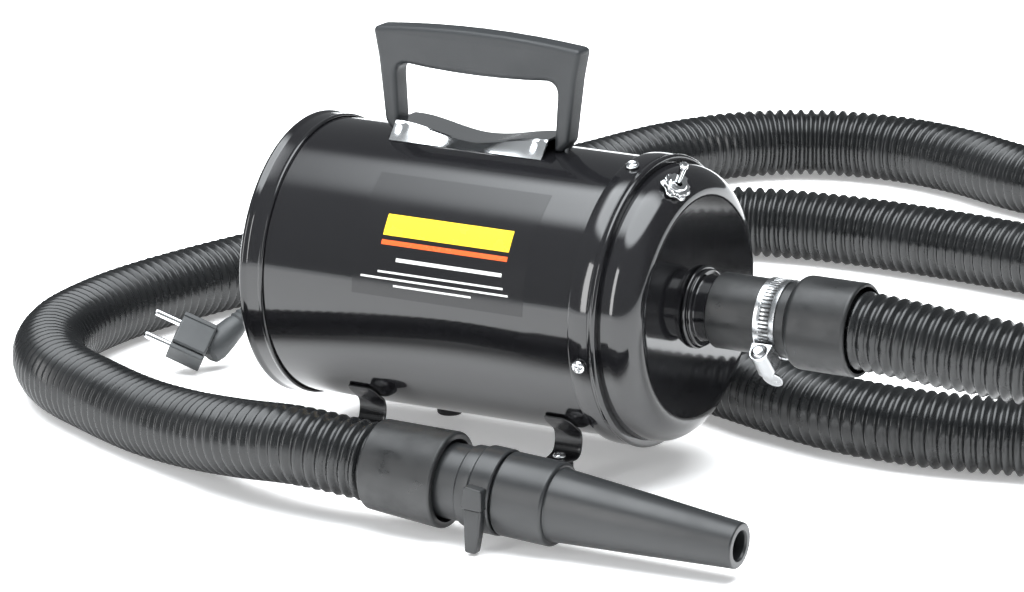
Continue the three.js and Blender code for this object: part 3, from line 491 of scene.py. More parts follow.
enamel = finish("gloss_enamel", (0.007, 0.007, 0.008), 0.07, 0.13, patch=9, grain=900, bump=0.05,
                depth=0.0002, specks=0.35)
enamel.node_tree.nodes["Principled BSDF"].inputs["Coat Weight"].default_value = 0.35
enamel.node_tree.nodes["Principled BSDF"].inputs["Coat Roughness"].default_value = 0.03

can_radius = 0.089
sheet = 0.0012
rear_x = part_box("rear_cap")[0].x
seam_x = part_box("rear_cap")[1].x
intake_radius = 0.058
tube_low, tube_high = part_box("body_shell")
tube = turned([
    (tube_low.x, can_radius - sheet), (tube_low.x, can_radius),
    (tube_high.x, can_radius), (tube_high.x, can_radius - sheet),
], sides=160)
settle(put(tube, can_place), "can_tube", "dryer", "gloss_paint", enamel, "body_shell")

cap_radius = can_radius + 0.0015
rear_cap = turned([
    (rear_x, intake_radius),
    (rear_x, cap_radius - 0.0034),
    *arc((rear_x + 0.0022, cap_radius - 0.0012), 0.0024, 180, 60, 5),
    (rear_x + 0.0048, cap_radius + 0.0001),
    (rear_x + 0.0062, cap_radius),
    (seam_x - 0.0030, cap_radius),
    (seam_x - 0.0022, cap_radius + 0.0005),
    (seam_x - 0.0008, cap_radius + 0.0005),
    (seam_x, cap_radius - 0.0002),
    (seam_x, can_radius + 0.0003),
    (rear_x + sheet, can_radius + 0.0003),
    (rear_x + sheet, intake_radius),
], sides=160)
settle(put(rear_cap, can_place), "rear_end_cap", "dryer", "gloss_paint", enamel, "rear_cap")

# ---- Air intake and cord gland ----
# A pressed grille of rings and spokes over a foam filter closes the cap's round opening. The cord
# comes out of a moulded rubber gland beside it, with ribs that let it flex.

strap_black = finish("satin_black", (0.010, 0.010, 0.011), 0.16, 0.26, patch=40, grain=500, bump=0.05,
                     specks=0.3)
rubber_black = finish("cuff_rubber", (0.010, 0.0105, 0.011), 0.24, 0.58, patch=60, grain=900, bump=0.10,
                      depth=0.0003, specks=0.5, worn=(0.10, 0.10, 0.10))
foam_grey = finish("filter_foam", (0.020, 0.020, 0.020), 0.90, 1.0, patch=90, grain=420, bump=0.9,
                   depth=0.002)

grille_low, grille_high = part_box("intake_grille")
grille_rings = []
for ring_radius in (0.017, 0.031, 0.045, 0.0585):
    ring_wall = 0.0045 if ring_radius > 0.05 else 0.0020
    grille_rings.append(turned([
        (grille_low.x, ring_radius - ring_wall), (grille_low.x, ring_radius + ring_wall),
        (grille_high.x, ring_radius + ring_wall), (grille_high.x, ring_radius - ring_wall),
    ], bevel=0.0006))
for spoke_turn in range(4):
    bpy.ops.object.select_all(action="DESELECT")
    bpy.ops.mesh.primitive_cube_add(size=1, location=((grille_low.x + grille_high.x) / 2, 0, 0.0375),
                                    scale=(0.0022, 0.0034, 0.042))
    spoke = bpy.context.object
    bpy.ops.object.transform_apply(location=True, rotation=True, scale=True)
    soften(spoke, 0.0005)
    put(spoke, Matrix.Rotation(spoke_turn * math.pi / 2, 4, "X"))
    grille_rings.append(spoke)


def joined(pieces):
    """Several meshes as one piece."""
    bpy.ops.object.select_all(action="DESELECT")
    for piece in pieces:
        piece.select_set(True)
    bpy.context.view_layer.objects.active = pieces[0]
    bpy.ops.object.join()
    return bpy.context.object


grille = joined(grille_rings)
settle(put(grille, can_place), "intake_guard", "dryer", "strap_paint", strap_black, "intake_grille")
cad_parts["intake_filter"].data.materials.clear()
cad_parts["intake_filter"].data.materials.append(foam_grey)

gland_low, gland_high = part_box("cable_gland")
gland_profile = [
    (gland_high.x, 0.0049), (gland_high.x, 0.0060), (rear_x - 0.0003, 0.0060),
    (rear_x - 0.0003, 0.0090), (rear_x - 0.0023, 0.0090), (rear_x - 0.0027, 0.0066),
]
for gland_rib in range(4):
    rib_x = rear_x - 0.0050 - 0.0044 * gland_rib
    rib_radius = 0.0066 - 0.0003 * gland_rib
    gland_profile += [(rib_x, rib_radius), (rib_x - 0.0006, rib_radius - 0.0010),
                      (rib_x - 0.0016, rib_radius - 0.0010), (rib_x - 0.0022, rib_radius - 0.0001)]
gland_profile += [(gland_low.x, 0.0056), (gland_low.x, 0.0049)]
gland = turned(gland_profile, sides=40, bevel=0.0002)
put(gland, Matrix.Translation((0, 0.035, 0.054)))
settle(gland, "cord_gland", "dryer", "rubber", rubber_black, "cable_gland")

# ---- Front ring and dome ----
# A pressed ring with a rolled lip clamps the domed steel cap to the tube, held by four chrome
# pan-head screws. The dome has a wide rounded shoulder and a flat face for the air outlet.

ring_low, ring_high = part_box("front_ring")
ring_radius = can_radius + 0.0037
ring = turned([
    (ring_low.x, can_radius + 0.0003),
    (ring_low.x, ring_radius - 0.0009),
    (ring_low.x + 0.0005, ring_radius - 0.0008),
    *arc((ring_low.x + 0.0070, ring_radius - 0.0420), 0.0420, 98.5, 81.0, 12),
    (ring_high.x - 0.0054, ring_radius - 0.0008),
    (ring_high.x - 0.0046, ring_radius - 0.0008),
    *arc((ring_high.x - 0.0020, ring_radius - 0.0016), 0.0020, 150, 0, 7),
    (ring_high.x, can_radius - 0.0010),
    (ring_high.x - 0.0038, can_radius - 0.0010),
    (ring_high.x - 0.0038, can_radius + 0.0003),
], sides=160)
settle(put(ring, can_place), "clamping_ring", "dryer", "gloss_paint", enamel, "front_ring")

dome_low, dome_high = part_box("front_dome")
dome_radius = can_radius - 0.0013
corner = 0.018
corner_centre = (dome_high.x - corner, dome_radius - corner)
spud_radius = 0.021
dome = turned([
    (dome_high.x, spud_radius + 0.0003),
    *arc(corner_centre, corner, 0, 90, 16),
    (dome_low.x + sheet, dome_radius),
    (dome_low.x + sheet, can_radius),
    (dome_low.x, can_radius),
    (dome_low.x, dome_radius - 0.0015),
    *arc(corner_centre, corner - 0.0015, 90, 0, 8),
    (dome_high.x - 0.0015, spud_radius + 0.0003),
], sides=160, bevel=0)
settle(put(dome, can_place), "domed_cap", "dryer", "gloss_paint", enamel, "front_dome")

chrome = finish("bright_chrome", (0.80, 0.81, 0.82), 0.05, 0.12, metal=1.0, patch=50, grain=700, bump=0.015,
                specks=0.15, worn=(0.4, 0.4, 0.4))


def pan_head(radius, height, shank, length):
    """A pan-head screw along X, its crossed recess pressed in from the crown."""
    head = turned([
        (-length, shank * 0.4), (-length + shank * 0.6, shank), (-0.0001, shank), (0, radius * 0.96),
        (height * 0.30, radius), *arc((height * 0.30, radius * 0.55), radius * 0.45, 80, 20, 4),
        (height * 0.86, radius * 0.62), (height, radius * 0.25),
    ], sides=32, bevel=0, closed=False)
    recesses = []
    for blade_turn in (0, math.pi / 2):
        bpy.ops.object.select_all(action="DESELECT")
        bpy.ops.mesh.primitive_cube_add(size=1, location=(height, 0, 0), rotation=(blade_turn, 0, 0),
                                        scale=(height * 0.9, radius * 1.05, radius * 0.24))
        recesses.append(bpy.context.object)
        bpy.ops.object.transform_apply(location=True, rotation=True, scale=True)
    for blade in recesses:
        pick(head)
        sinking = head.modifiers.new("recess", "BOOLEAN")
        sinking.operation = "DIFFERENCE"
        sinking.object = blade
        bpy.ops.object.modifier_apply(modifier=sinking.name)
        bpy.data.objects.remove(blade)
    soften(head, 0)
    return head


ring_screw_x = ring_low.x + 0.4 * (ring_high.x - ring_low.x)
for screw_number, screw_angle in enumerate((13.5, 103.5, 193.5, 283.5), start=1):
    screw = pan_head(0.0044, 0.0028, 0.0020, 0.009)
    lean = Matrix.Rotation(math.radians(screw_angle), 4, "X")
    lean = lean @ Matrix.Translation((ring_screw_x, ring_radius + 0.0003, 0))
    put(screw, can_place @ lean @ Matrix.Rotation(math.pi / 2, 4, "Z") @ Matrix.Rotation(0.5, 4, "X"))
    settle(screw, f"ring_screw_head_{screw_number}", "dryer", "chrome", chrome,
           f"ring_screw_{screw_number}")

# ---- Toggle switch ----
# A chrome bat-handle toggle on the dome's shoulder, with a tabbed lock washer and a knurled nut on
# its threaded bush. The switch's body hangs inside the dome.

switch_slope = math.radians(40)
switch_seat = can_place @ Matrix.Rotation(math.radians(106), 4, "X")
switch_seat = switch_seat @ Matrix.Translation((
    corner_centre[0] + corner * math.sin(switch_slope),
    corner_centre[1] + corner * math.cos(switch_slope), 0,
))
switch_seat = switch_seat @ Matrix.Rotation(math.pi / 2 - switch_slope, 4, "Z")

thread_profile = [(-0.0075, 0.0027), (-0.0075, 0.0058)]
for thread in range(10):
    thread_profile += [(-0.0066 + thread * 0.0012, 0.0060), (-0.0060 + thread * 0.0012, 0.0055)]
thread_profile += [(0.0056, 0.0058), (0.0062, 0.0052), (0.0064, 0.0040), (0.0062, 0.0027)]
bush = turned(thread_profile, sides=48, bevel=0)
bpy.ops.object.select_all(action="DESELECT")
bpy.ops.mesh.primitive_cube_add(size=1, location=(-0.0140, 0, 0), scale=(0.0148, 0.0158, 0.0128))
switch_case = bpy.context.object
bpy.ops.object.transform_apply(location=True, rotation=True, scale=True)
soften(switch_case, 0.0008)
switch_body = joined([bush, switch_case])
settle(put(switch_body, switch_seat), "switch_case", "dryer", "aluminium", chrome, "switch_body")


def ridged_disc(start, stop, bore, outer, ridges, depth, swell=0.0):
    """A ring about X whose rim has rounded ridges all the way round."""
    disc = turned([
        (start, bore), (start, outer), ((start + stop) / 2, outer + swell), (stop, outer), (stop, bore),
    ], sides=ridges * 8, bevel=0)
    for vertex in disc.data.vertices:
        radius = math.hypot(vertex.co.y, vertex.co.z)
        if radius > (bore + outer) / 2:
            wave = 0.5 + 0.5 * math.cos(ridges * math.atan2(vertex.co.z, vertex.co.y))
            share = 1 - depth / radius * wave
            vertex.co.y *= share
            vertex.co.z *= share
    soften(disc, 0.0002)
    return disc


lock_washer = ridged_disc(0.0010, 0.0019, 0.0063, 0.0104, 6, 0.0022)
bpy.ops.object.select_all(action="DESELECT")
bpy.ops.mesh.primitive_cube_add(size=1, location=(0.00145, 0, -0.0115), scale=(0.0009, 0.0042, 0.0050))
key_tab = bpy.context.object
bpy.ops.object.transform_apply(location=True, rotation=True, scale=True)
soften(key_tab, 0.0003)
washer = joined([lock_washer, key_tab])
settle(put(washer, switch_seat), "lock_washer", "dryer", "chrome", chrome, "switch_washer")

nut = ridged_disc(0.0022, 0.0048, 0.0062, 0.0088, 12, 0.0009, swell=0.0003)
settle(put(nut, switch_seat), "knurled_nut", "dryer", "chrome", chrome, "switch_nut")

lever_tip = 0.0168
bat = turned([
    (-0.0016, 0.0008), (-0.0012, 0.0015), (0.0030, 0.0017), (0.0090, 0.0019), (0.0135, 0.0022),
    *arc((lever_tip, 0), 0.0028, 125, 40, 6), (0.0190, 0.0014), (0.0187, 0.0007),
], sides=32, bevel=0, closed=False)
put(bat, switch_seat @ Matrix.Translation((0.003, 0, 0)) @ Matrix.Rotation(math.radians(14), 4, "Z"))
settle(bat, "toggle_lever", "lever", "chrome", chrome, "switch_lever")

# ---- Blower motor ----
# A two-stage bypass blower inside the can: a zinc-plated fan case, die-cast impellers and frame,
# a varnished lamination pack, a copper commutator and carbon brushes, on a steel spider.

zinc = finish("zinc_plate", (0.50, 0.51, 0.50), 0.25, 0.42, metal=1.0, patch=70, grain=500, bump=0.05)
casting = finish("die_casting", (0.42, 0.42, 0.42), 0.45, 0.65, metal=1.0, patch=120, grain=800, bump=0.25)
laminations = finish("varnished_laminations", (0.10, 0.085, 0.075), 0.35, 0.55, metal=0.7, patch=60,
                     grain=1600, bump=0.3)
copper = finish("copper_bars", (0.72, 0.40, 0.24), 0.25, 0.45, metal=1.0, patch=150, grain=900, bump=0.1)
carbon = finish("carbon_brush", (0.025, 0.025, 0.026), 0.55, 0.75, patch=90, grain=1500, bump=0.15)
motor_finishes = {
    "fan_case": zinc, "motor_spider": zinc, "motor_shaft": zinc,
    "fan_diffuser": casting, "motor_frame": casting, "impeller_first": casting, "impeller_second": casting,
    "stator_core": laminations, "armature_core": laminations,
    "commutator": copper, "brush_upper": carbon, "brush_lower": carbon, "mount_gasket": rubber_black,
}
for node_name, node_finish in motor_finishes.items():
    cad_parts[node_name].data.materials.clear()
    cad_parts[node_name].data.materials.append(node_finish)

# ---- Label ----
# A clear film label on the near side of the can, slightly duller than the enamel. It is printed
# with two plain stripes that run along the can, and thin rules below them.

film = finish("label_film", (0.009, 0.009, 0.010), 0.10, 0.15, patch=30, grain=300, bump=0.01)
ink_yellow = finish("yellow_ink", (0.90, 0.60, 0.03), 0.22, 0.30, patch=60, grain=900, bump=0.01)
ink_orange = finish("orange_ink", (0.72, 0.10, 0.02), 0.22, 0.30, patch=60, grain=900, bump=0.01)
ink_white = finish("white_ink", (0.75, 0.75, 0.73), 0.25, 0.32, patch=60, grain=900, bump=0.01)


def wrapped(name, corners_at, columns, rows, lift, material):
    """A thin printed sheet round the can. corners_at gives x and angle for two shares from 0 to 1."""
    bpy.ops.object.select_all(action="DESELECT")
    bpy.ops.mesh.primitive_grid_add(x_subdivisions=columns, y_subdivisions=rows, size=1)
    print_piece = bpy.context.object
    for vertex in print_piece.data.vertices:
        x, angle = corners_at(vertex.co.x + 0.5, vertex.co.y + 0.5)
        reach = can_radius + lift
        turn = math.radians(angle)
        vertex.co = (x, -reach * math.cos(turn), axis_height + reach * math.sin(turn))
    thin = print_piece.modifiers.new("film", "SOLIDIFY")
    thin.thickness = 0.00005
    thin.offset = 0
    bpy.ops.object.modifier_apply(modifier=thin.name)
    bpy.ops.object.shade_smooth_by_angle(angle=math.radians(30))
    settle(print_piece, name, "dryer", "gloss_paint", material)


wrapped("label_sheet", lambda s, t: (-0.116 + 0.123 * s, 2.5 + 52.9 * t), 4, 60, 0.00006, film)


def stripe(start, end, foot, height):
    """A straight stripe along the can, between two places along it and up from a foot angle."""
    return lambda s, t: (start + (end - start) * s, foot + height * t)


stripe_start, stripe_end = -0.0985, -0.0080
wrapped("label_stripe_wide", stripe(stripe_start, stripe_end, 27.5, 9.0), 2, 24, 0.00016, ink_yellow)
wrapped("label_stripe_narrow", stripe(stripe_start, stripe_end, 23.6, 2.0), 2, 8, 0.00016, ink_orange)
for rule, (rule_angle, rule_start, rule_end, rule_width) in enumerate((
    (17.2, -0.086, -0.010, 1.5), (12.2, -0.098, -0.008, 0.8),
    (9.6, -0.110, -0.004, 0.8), (7.0, -0.086, -0.030, 0.8),
), start=1):
    wrapped(f"label_rule_{rule}", stripe(rule_start, rule_end, rule_angle, rule_width), 2, 3,
            0.00016, ink_white)

# ---- Carrying handle ----
# A closed loop of dark grey moulded plastic with a fine grain and generously rounded edges. Two
# screws hold it from inside the can, over a chrome-plated steel saddle whose top dips in the middle.

grip_grey = finish("grained_grey", (0.018, 0.020, 0.022), 0.38, 0.54, patch=30, grain=1500, bump=0.30,
                   depth=0.0004, specks=0.5, worn=(0.10, 0.10, 0.10))
handle_x = -0.0725
grip_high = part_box("handle_grip")[1]


def plate(outlines, thickness, edge, segments=3):
    """A flat closed outline, with any holes in it, thickened along Z and rounded at its edges."""
    drawing = bpy.data.curves.new("outline", "CURVE")
    drawing.dimensions = "2D"
    drawing.fill_mode = "BOTH"
    for outline in outlines:
        line = drawing.splines.new("POLY")
        line.points.add(len(outline) - 1)
        for point, (x, y) in zip(line.points, outline):
            point.co = (x, y, 0, 1)
        line.use_cyclic_u = True
    drawing.extrude = thickness / 2 - edge
    drawing.bevel_depth = edge
    drawing.bevel_resolution = segments
    drawing.offset = -edge
    piece = bpy.data.objects.new("outline", drawing)
    bpy.context.scene.collection.objects.link(piece)
    pick(piece)
    bpy.ops.object.convert(target="MESH")
    piece = bpy.context.object
    face_out(piece)
    bpy.ops.object.shade_smooth_by_angle(angle=math.radians(28))
    return piece


def rounded(corners):
    """An outline through (x, y, radius) corners, each rounded by its own radius."""
    outline = []
    for i, (x, y, radius) in enumerate(corners):
        here = Vector((x, y))
        before = (Vector(corners[i - 1][:2]) - here)
        after = (Vector(corners[(i + 1) % len(corners)][:2]) - here)
        if radius == 0:
            outline.append((x, y))
            continue
        half = before.angle(after) / 2
        reach = min(radius / math.tan(half), 0.48 * before.length, 0.48 * after.length)
        first = here + before.normalized() * reach
        last = here + after.normalized() * reach
        for step in range(9):
            t = step / 8
            point = first * (1 - t) ** 2 + here * 2 * t * (1 - t) + last * t * t
            outline.append((point.x, point.y))
    return outline


foot_height = can_radius + 0.0003
top_height = grip_high.z - axis_height - 0.004
opening_height = 0.1345
outer_corners = [(-0.0755, top_height, 0.004)]
bow_shares = (-0.75, -0.5, -0.25, 0, 0.25, 0.5, 0.75)
outer_corners += [(0.0755 * s, top_height + 0.004 * (1 - s * s), 0) for s in bow_shares]
outer_corners += [
    (0.0755, top_height, 0.004), (0.0715, top_height - 0.020, 0.02), (0.0665, foot_height + 0.006, 0.006),
    (0.0615, foot_height, 0.004), (0.0565, foot_height, 0.002), (0.0572, foot_height + 0.012, 0.02),
    (0.0592, opening_height, 0.009),
]
outer_corners += [(0.0590 * s, opening_height - 0.003 * (1 - s * s), 0) for s in (0.6, 0.3, 0, -0.3, -0.6)]
outer_corners += [
    (-0.0592, opening_height, 0.009), (-0.0572, foot_height + 0.012, 0.02), (-0.0565, foot_height, 0.002),
    (-0.0615, foot_height, 0.004), (-0.0665, foot_height + 0.006, 0.006),
    (-0.0715, top_height - 0.020, 0.02),
]
grip = plate([rounded(outer_corners)], 0.0170, 0.0034, segments=5)
stand_up = Matrix.Translation((handle_x, 0, axis_height)) @ Matrix.Rotation(math.pi / 2, 4, "X")
settle(put(grip, stand_up), "carry_handle", "dryer", "grip_plastic", grip_grey, "handle_grip")

for node_name in ("handle_screw_rear", "handle_screw_front"):
    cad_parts[node_name].data.materials.clear()
    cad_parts[node_name].data.materials.append(chrome)

saddle_low, saddle_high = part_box("handle_bracket")
saddle_half = (saddle_high.x - saddle_low.x) / 2
saddle_ridge = saddle_high.z - axis_height
saddle_dip = saddle_ridge - 0.007
saddle_wall = 0.0015
bpy.ops.object.select_all(action="DESELECT")
bpy.ops.mesh.primitive_grid_add(x_subdivisions=64, y_subdivisions=40, size=2)
saddle = bpy.context.object
saddle_section = [
    (-1.0, 0.0), (-0.64, 0.86), (-0.56, 0.985), (-0.46, 1.0),
    (0.46, 1.0), (0.56, 0.985), (0.64, 0.86), (1.0, 0.0),
]
for vertex in saddle.data.vertices:
    along, across = vertex.co.x, vertex.co.y
    flare = 0.5 + 0.5 * math.cos(math.pi * min(1.0, abs(along) * 1.06))
    ridge = saddle_ridge - (saddle_ridge - saddle_dip) * flare
    station = (across + 1) / 2 * (len(saddle_section) - 1)
    corner_before = min(int(station), len(saddle_section) - 2)
    share = station - corner_before
    share = share * share * (3 - 2 * share) if corner_before in (1, 5) else share
    side_a, side_b = saddle_section[corner_before], saddle_section[corner_before + 1]
    wide = (side_a[0] + (side_b[0] - side_a[0]) * share) * 0.022
    rise = side_a[1] + (side_b[1] - side_a[1]) * share
    foot = can_radius - 0.0022
    if rise < 1e-6:
        foot = math.sqrt(max(0.0, (can_radius + 0.0006) ** 2 - wide ** 2))
    height = foot + (ridge - foot) * rise
    dent_x = (abs(along) * saddle_half - (saddle_half - 0.006)) / 0.0022
    dent_y = (-wide - 0.0155) / 0.0022
    dent = 0.0005 * math.exp(-dent_x * dent_x - dent_y * dent_y)
    vertex.co = (handle_x + along * (saddle_half - 0.0002), wide + dent, axis_height + height - dent)
thick = saddle.modifiers.new("wall", "SOLIDIFY")
thick.thickness = saddle_wall
thick.offset = -1
bpy.ops.object.modifier_apply(modifier=thick.name)
soften(saddle, 0.0004)
settle(saddle, "chrome_saddle", "dryer", "chrome", chrome, "handle_bracket")

# ---- Feet ----
# Four feet of bent steel strap, spot-welded to the can under an oval end plate and painted with it.
# Each lower flange holds a turned rubber foot by one bright screw.

foot_black = finish("foot_rubber", (0.020, 0.020, 0.021), 0.55, 0.75, patch=60, grain=900, bump=0.2,
                    specks=0.6)
strap_width = 0.020
bolt_spread = 0.055
for end, foot_x in (("rear", -0.128), ("front", 0.015)):
    for side_name, side in (("near", -1), ("far", 1)):
        tag = f"{end}_{side_name}"
        hug = can_radius + 0.0013
        flange = 0.0184
        web = 0.043
        strap_line = []
        for spread in (0.0615, 0.058, 0.0535, 0.049, 0.0455):
            strap_line.append((spread, axis_height - math.sqrt(hug ** 2 - spread ** 2)))
        drop = strap_line[-1][1]
        strap_line += [(web + 0.0006, drop - 0.0030), (web, drop - 0.0060), (web + 0.0002, flange + 0.0070),
                       (web + 0.0014, flange + 0.0030), (web + 0.0045, flange + 0.0004),
                       (web + 0.0080, flange),
                       (0.0640, flange)]
        bpy.ops.object.select_all(action="DESELECT")
        bpy.ops.mesh.primitive_grid_add(x_subdivisions=len(strap_line) - 1, y_subdivisions=10, size=1)
        strap = bpy.context.object
        for vertex in strap.data.vertices:
            station = round((vertex.co.x + 0.5) * (len(strap_line) - 1))
            spread, height = strap_line[station]
            across = vertex.co.y * strap_width
            rounding = 1.0
            if station in (0, len(strap_line) - 1):
                rounding = 0.72
            across *= rounding
            vertex.co = (foot_x + across, side * spread, height)
            dimple = math.exp(-((across / 0.0032) ** 2) - ((spread - 0.0520) / 0.0022) ** 2)
            vertex.co.z += 0.0012 * dimple * (station < 5)
        thick = strap.modifiers.new("wall", "SOLIDIFY")
        thick.thickness = 0.0020
        thick.offset = 0
        bpy.ops.object.modifier_apply(modifier=thick.name)
        smooth = strap.modifiers.new("bends", "SUBSURF")
        smooth.levels = smooth.render_levels = 1
        bpy.ops.object.modifier_apply(modifier=smooth.name)
        face_out(strap)
        soften(strap, 0)
        settle(strap, f"strap_{tag}", "dryer", "strap_paint", strap_black, f"foot_strap_{tag}")

        upright = Matrix.Translation((foot_x, side * bolt_spread, 0))
        upright = upright @ Matrix.Rotation(-math.pi / 2, 4, "Y")
        pad_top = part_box(f"rubber_foot_{tag}")[1].z
        pad = turned([
            (0.0, 0.0040), (0.0, 0.0074), (0.0008, 0.0082), (pad_top * 0.55, 0.0088),
            (pad_top - 0.0010, 0.0088),
            (pad_top, 0.0080), (pad_top, 0.0030),
        ], sides=48, closed=False)
        settle(put(pad, upright), f"rubber_pad_{tag}", "dryer", "rubber", foot_black, f"rubber_foot_{tag}")
        screw = pan_head(0.0042, 0.0026, 0.0022, 0.0130)
        put(screw, upright @ Matrix.Translation((0.0197, 0, 0)) @ Matrix.Rotation(0.4, 4, "X"))
        settle(screw, f"foot_screw_head_{tag}", "dryer", "chrome", chrome, f"foot_screw_{tag}")

# ---- Air outlet ----
# A steel spud with a bright double bead where it seats on the dome. A stepped rubber cuff joins it
# to the hose, pulled tight by a stainless worm clamp with a thumb key.

spud_low, spud_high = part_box("outlet_spud")
bead_x = dome_high.x + 0.0003
spud = turned([
    (spud_low.x, spud_radius - 0.0022), (spud_low.x, spud_radius), (bead_x, spud_radius), (bead_x, 0.0252),
    *arc((bead_x + 0.0014, 0.0250), 0.0013, 170, 10, 6),
    (bead_x + 0.0029, 0.0240),
    *arc((bead_x + 0.0044, 0.0234), 0.0013, 160, 0, 6),
    (bead_x + 0.0060, spud_radius + 0.0004), (bead_x + 0.0072, spud_radius),
    (spud_high.x, spud_radius), (spud_high.x, spud_radius - 0.0022),
])
settle(put(spud, can_place), "outlet_pipe", "dryer", "gloss_paint", enamel, "outlet_spud")

cuff_low, cuff_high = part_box("outlet_cuff")
neck_radius = spud_radius + 0.0003 + 0.0027
socket_radius = 0.0296
socket_x = 0.1555
shoulder = 0.0055
cuff = turned([
    (cuff_low.x, spud_radius + 0.0003),
    (cuff_low.x, neck_radius - 0.0012),
    (cuff_low.x + 0.0012, neck_radius),
    (socket_x - 0.0010, neck_radius),
    (socket_x, neck_radius + 0.0008),
    *arc((socket_x + shoulder, socket_radius - shoulder), shoulder, 178, 90, 8),
    (cuff_high.x - 0.0022, socket_radius + 0.0001),
    *arc((cuff_high.x - 0.0020, socket_radius - 0.0019), 0.0020, 90, 0, 4),
    (cuff_high.x, 0.0272),
    (socket_x + 0.005, 0.0268),
    (socket_x + 0.005, 0.0190),
    (socket_x - 0.002, 0.0190),
    (socket_x - 0.002, spud_radius + 0.0003),
], bevel=0.0002)
settle(put(cuff, can_place), "outlet_sleeve", "dryer", "rubber", rubber_black, "outlet_cuff")

stainless = finish("stainless_strip", (0.50, 0.51, 0.52), 0.18, 0.32, metal=1.0, patch=90, grain=1100,
                   bump=0.05, specks=0.3, worn=(0.3, 0.3, 0.3))
slot_dark = finish("slot_shadow", (0.05, 0.05, 0.05), 0.5, 0.7, metal=0.6, patch=90, grain=900, bump=0.05)
band_low, band_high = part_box("clamp_band")
band_sides = 120
band_inner = neck_radius + 0.0003
band_outer = band_inner + 0.0009
band = turned([
    (band_low.x, band_inner), (band_low.x, band_outer), (band_low.x + 0.0035, band_outer),
    (band_high.x - 0.0035, band_outer), (band_high.x, band_outer), (band_high.x, band_inner),
], sides=band_sides, bevel=0)
pick(band)
bpy.context.tool_settings.mesh_select_mode = (False, False, True)
for polygon in band.data.polygons:
    middle = polygon.center
    on_rim = math.hypot(middle.y, middle.z) > band_outer - 0.0003
    in_track = abs(middle.x - (band_low.x + band_high.x) / 2) < 0.0030
    step = round((math.atan2(middle.z, middle.y) + math.pi) / (2 * math.pi) * band_sides - 0.5)
    polygon.select = on_rim and in_track and step % 2 == 0
bpy.ops.object.mode_set(mode="EDIT")
bpy.ops.mesh.inset(thickness=0.00012, depth=-0.00045, use_individual=True)
bpy.ops.object.mode_set(mode="OBJECT")
sunk = [polygon.index for polygon in band.data.polygons if polygon.select]
bpy.context.tool_settings.mesh_select_mode = (True, False, False)
bpy.ops.object.shade_smooth_by_angle(angle=math.radians(25))
settle(put(band, can_place), "clamp_strip", "dryer", "steel", stainless, "clamp_band")
band.data.materials.append(slot_dark)
for index in sunk:
    band.data.polygons[index].material_index = 1

worm_radius = 0.0048
clamp_x = (band_low.x + band_high.x) / 2
worm_place = can_place @ Matrix.Rotation(math.radians(222), 4, "X")
worm_place = worm_place @ Matrix.Translation((clamp_x, band_outer + 0.0003 + worm_radius + 0.0016, 0))
housing_bore = worm_radius + 0.0004
housing_outer = housing_bore + 0.0012
housing_base = -worm_radius - 0.0016
cradle_outline = [(-housing_outer - 0.0008, housing_base), (housing_outer + 0.0008, housing_base)]
cradle_outline += arc((0, 0), housing_outer, 0, 180, 20)
bore_outline = arc((0, 0), housing_bore, 0, 345, 23)
cradle = plate([cradle_outline, bore_outline], 0.0190, 0.0004)
bpy.ops.object.mode_set(mode="EDIT")
bpy.ops.mesh.select_all(action="SELECT")
for cut in (-0.0062, -0.0035, 0.0035, 0.0062):
    bpy.ops.mesh.select_all(action="SELECT")
    bpy.ops.mesh.bisect(plane_co=(0, 0, cut), plane_no=(0, 0, 1))
bpy.ops.object.mode_set(mode="OBJECT")
for vertex in cradle.data.vertices:
    reach = math.hypot(vertex.co.x, vertex.co.y)
    if reach > housing_bore + 0.0004 and vertex.co.y > -0.0020:
        swell = 1.0 - 0.07 * math.exp(-((abs(vertex.co.z) - 0.0050) / 0.0016) ** 2)
        vertex.co.x *= swell
        vertex.co.y *= swell
settle(put(cradle, worm_place), "worm_housing", "dryer", "steel", stainless, "clamp_housing")

screw_turn = Matrix.Rotation(-math.pi / 2, 4, "Y")
worm_profile = [(-0.0116, 0.0012), (-0.0116, 0.0028), (-0.0108, 0.0040)]
for coil in range(11):
    worm_profile += [(-0.0099 + 0.0018 * coil, 0.0046), (-0.0090 + 0.0018 * coil, 0.0038)]
worm_profile += [(0.0108, 0.0042), (0.0116, 0.0042), (0.0124, 0.0030), (0.0170, 0.0026), (0.0170, 0.0010)]
worm = turned(worm_profile, sides=36, bevel=0, closed=False)
put(worm, screw_turn)
key_turns = np.linspace(0, 2 * math.pi, 41)[:-1]
key_outline = [(0.0068 * math.cos(a), 0.0205 + 0.0075 * math.sin(a)) for a in key_turns]
thumb_key = plate([key_outline], 0.0018, 0.0006)
put(thumb_key, Matrix.Rotation(math.pi / 2, 4, "X"))
worm_screw = joined([worm, thumb_key])
settle(put(worm_screw, worm_place), "worm_screw", "worm", "steel", stainless, "clamp_screw")

# ---- Hand cuff and nozzle ----
# A rubber cuff grips the end of the hose. A moulded adapter carries a locking collar, with a lug and
# a long tab, and the tapered blower nozzle pushes on behind it.

